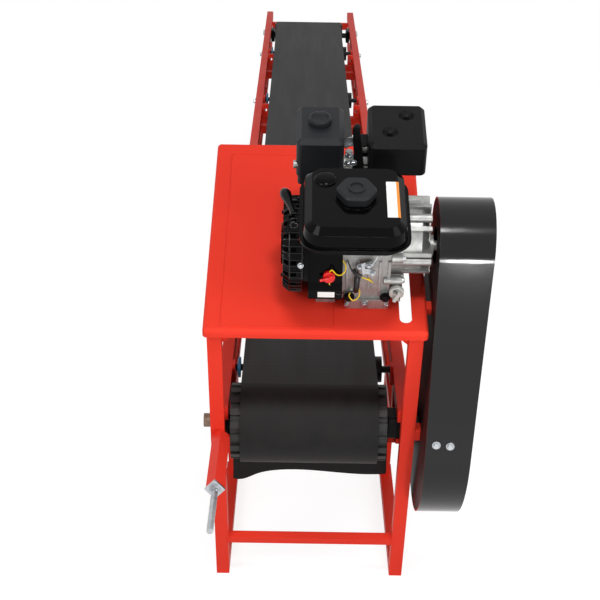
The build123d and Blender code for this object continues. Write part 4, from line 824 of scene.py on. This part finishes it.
# %% [markdown]
# ## Places on the frame
# The stand, truss and wheels are square to the floor, so their fittings are placed in millimetres
# from the point on the floor under the drum's axis, at the frame's middle.

# %% Frame directions
def on_frame(places):
    """Rows of (x, y, z) in mm from the floor under the drum's axis to points in metres."""
    return np.array(drum_axis()) + np.asarray(places, float) * MM


RAIL_FACE, TAIL_Y, TAIL_BOLT_Z = 214.2, 3968, 500
RIM_FRONT_Y, RIM_BOLTS_XZ = -192.9, ((256, 507), (285, 505))
BEARING_X, BEARING_FACE_Y, BEARING_BOLT_ZS = 202, -29.2, (444, 476)
FIRST_IDLER_Y, IDLER_STEP, IDLER_AXLE_Z = 164, 827, 506
rows = [(on_frame((x, RIM_FRONT_Y, z)), FORWARD, 13) for x, z in RIM_BOLTS_XZ]
add_bolts("guard_rim_bolts", rows, zinc_plate)
rows = [(on_frame((side * RAIL_FACE, TAIL_Y + step, TAIL_BOLT_Z)), side * ACROSS, 16)
        for side in (-1, 1) for step in (-25, 25)]
add_bolts("tail_bearing_bolts", rows, zinc_plate)
IDLER_ROWS = FIRST_IDLER_Y + IDLER_STEP * np.arange(5)
rows = [(on_frame((side * RAIL_FACE, y, IDLER_AXLE_Z)), side * ACROSS, 18)
        for side in (-1, 1) for y in IDLER_ROWS]
add_bolts("idler_axle_nuts", rows, zinc_plate)
rows = [(on_frame((side * BEARING_X, BEARING_FACE_Y, z)), FORWARD, 9)
        for side in (-1, 1) for z in BEARING_BOLT_ZS]
add_bolts("drum_bearing_bolts", rows, zinc_plate)

# %% [markdown]
# ## Caps of the idlers
# Each carrying roller is a plastic tube whose bearings sit behind blue push-in caps. They show in
# the gap between belt and rail.

# %% Idler caps
IDLER_Z, IDLER_MIDDLE_X, IDLER_HALF = 514, -8, 157.5
CAP_PROFILE = [(24, 0), (24, 5), (20, 7), (9, 7), (9, 4)]
caps = [turned(CAP_PROFILE, on_frame((IDLER_MIDDLE_X + side * IDLER_HALF, y, IDLER_Z)), side * ACROSS, 28)
        for side in (-1, 1) for y in IDLER_ROWS]
add_piece("idler_caps", caps, plastics["Polyethylene cap, blue"])
print(len(caps), "caps")

# %% [markdown]
# ## Take-up rod and the shaft's end
# A thread could be a helix, but at this size rings look the same: the radius steps between crest
# and root, drawn at 4 mm instead of 2 so that it shows. The drum's shaft ends in bare steel.

# %% Take-up rod and shaft end
low, high = (np.array(corner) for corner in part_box("take_up_screw"))
ROD_BACK, ROD_FRONT, THREAD_MM, CREST_R, ROOT_R = -322, -469.6, 4.0, 6.9, 6.05
rod_x = ((low[0] + high[0]) / 2 - drum_axis().x) / MM
along_rod = np.arange(0, ROD_BACK - ROD_FRONT, THREAD_MM / 2)
radii = np.where(np.arange(len(along_rod)) % 2, CREST_R, ROOT_R)
drum_low, drum_high = (np.array(corner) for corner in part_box("drive_drum"))
drum_y, drum_z = (drum_low[1] + drum_high[1]) / 2, (drum_low[2] + drum_high[2]) / 2
thread = turned(np.stack([radii, along_rod], -1), on_frame((rod_x, ROD_FRONT, drum_z / MM)), -FORWARD, 20)
add_piece("take_up_thread", [thread], zinc_plate)
SHAFT_PROFILE = [(0.01, 1.5), (3, 1.5), (4, 0), (14, 0), (15.3, 1.2), (15.3, 19.5)]
shaft = turned(SHAFT_PROFILE, (drum_low[0] - 0.5 * MM, drum_y, drum_z), ACROSS, 32)
add_piece("drum_shaft_end", [shaft], bare_steel)
print("rod at x", round(rod_x, 1), "with", len(along_rod) // 2, "drawn turns")

# %% [markdown]
# ## Weld beads
# The tubes are welded by hand. A bead is a chain of overlapping drops: a round section carried
# round the joint, whose radius swells and shrinks once for each drop, here every 4 mm.

# %% Weld beads
def bead(corners, radius=2.0, drop_mm=4.0):
    """A closed bead along the corners: radius * (1 + 0.22 sin(2 pi s / drop)) at each length s."""
    corners = np.asarray(corners + corners[:1])
    lengths = np.concatenate([[0], np.cumsum(np.linalg.norm(np.diff(corners, axis=0), axis=1))])
    s = np.arange(0, lengths[-1], drop_mm * MM / 4)
    path = np.stack([np.interp(s, lengths, corners[:, axis]) for axis in range(3)], -1)
    swell = radius * (1 + 0.22 * np.sin(2 * np.pi * s / (drop_mm * MM)))
    return carried(path, swell[:, None, None], sides=8)


LEG_IN, LEG_OUT, LEG_FRONT, LEG_REAR = 191, 221, 10, 40
BAR_TUBE, LEG_TOP_H = 30, -20
bar_low_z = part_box("leg_crossbar")[0][2]
bar_h = ((bar_low_z - DECK_CORNER[2]) / MM - LEG_FRONT * np.sin(DECK_PITCH)) / np.cos(DECK_PITCH)
bar_end = ((LEG_FRONT, bar_h), (LEG_REAR, bar_h), (LEG_REAR, bar_h + BAR_TUBE), (LEG_FRONT, bar_h + BAR_TUBE))
leg_top = ((LEG_IN, LEG_FRONT), (LEG_OUT, LEG_FRONT), (LEG_OUT, LEG_REAR), (LEG_IN, LEG_REAR))
beads = [bead([on_deck((side * LEG_IN, t, h)) for t, h in bar_end]) for side in (-1, 1)]
beads += [bead([on_deck((side * x, t, LEG_TOP_H)) for x, t in leg_top]) for side in (-1, 1)]
add_piece("weld_beads", beads, red_coat)
print(len(beads), "beads; the cross-bar's foot is at h", round(bar_h, 1))

# %% [markdown]
# ## Film on the deck
# A clear film lies on the left of the deck, a rectangle with rounded corners. Only its edge shows,
# so the edge is drawn as a thin round section, half sunk in the coat.

# %% Film on the deck
FILM = {"left": -194, "right": 37, "front": 12, "back": 590, "corner": 6}
middle = np.array([FILM["left"] + FILM["right"], FILM["front"] + FILM["back"]]) / 2
half = np.array([FILM["right"] - FILM["left"], FILM["back"] - FILM["front"]]) / 2 - FILM["corner"]


def film_corner(sign, start):
    """A quarter circle of the film's edge: middle + sign * half + corner * (cos a, sin a)."""
    a = np.radians(start) + np.linspace(0, np.pi / 2, 5)
    return middle + half * sign + FILM["corner"] * np.stack([np.cos(a), np.sin(a)], -1)


corner_signs = {0: (1, 1), 90: (-1, 1), 180: (-1, -1), 270: (1, -1)}
edge_xt = np.concatenate([film_corner(sign, start) for start, sign in corner_signs.items()])
edge_xt = np.concatenate([edge_xt, edge_xt[:1]])
edge_path = on_deck(np.column_stack([edge_xt, np.zeros(len(edge_xt))]))
add_piece("deck_film_edge", [carried(edge_path, 1.1, sides=8)], red_coat)
print("film's edge has", len(edge_xt), "points")

# %% [markdown]
# ## Tyres
# The CAD tyre is a plain ring for collision. This one is a grid round the wheel and round the
# section, whose radius drops into grooves: one round the middle and slanted ones to each shoulder.

# %% Tyres
TYRE_R, TYRE_IN_R, TYRE_HALF, GROOVES, GROOVE_DEEP = 165, 118, 31, 32, 5
WASHER_PROFILE = [(13, 0), (22, 0), (22, 2.5), (13, 2.5)]


def tyre_grid(centre):
    """Superellipse section with n = 3.2; the tread drops by GROOVE_DEEP where the slanted wave is high."""
    turn, b = np.meshgrid(np.arange(320) * 2 * np.pi / 320, np.arange(40) * 2 * np.pi / 40, indexing="ij")
    across = np.sign(np.cos(b)) * np.abs(np.cos(b)) ** 0.625
    out = np.sign(np.sin(b)) * np.abs(np.sin(b)) ** 0.625
    wave = np.cos(GROOVES * (turn + 0.13 * np.abs(across) ** 1.5))
    tread = np.clip((out - 0.72) * 8, 0, 1)
    slanted = np.clip((wave - 0.55) * 4, 0, 1) * (np.abs(across) > 0.22)
    centre_line = np.clip((0.14 - np.abs(across)) * 18, 0, 1)
    groove = tread * np.maximum(slanted, centre_line)
    r = (TYRE_R + TYRE_IN_R) / 2 + (TYRE_R - TYRE_IN_R) / 2 * out - GROOVE_DEEP * groove
    ring = np.stack([TYRE_HALF * across, r * np.cos(turn), r * np.sin(turn)], -1)
    return np.asarray(centre) + ring * MM


for side in ("left", "right"):
    low, high = (np.array(corner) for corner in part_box("tyre_" + side))
    wheel_centre = (low + high) / 2
    tyre = add_piece("treaded_tyre_" + side, [tyre_grid(wheel_centre)], tyre_rubber, body="wheel_" + side,
                     round_rows=True)
    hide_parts("tyre_" + side)
    mark = -1 if side == "left" else 1
    rim_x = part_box("wheel_rim_" + side)[0 if side == "left" else 1][0]
    hub = wheel_centre * [0, 1, 1] + [rim_x, 0, 0]
    add_piece("axle_washer_" + side, [turned(WASHER_PROFILE, hub, mark * ACROSS, 32)], zinc_plate)
print("two tyres with", GROOVES, "slanted grooves a side")
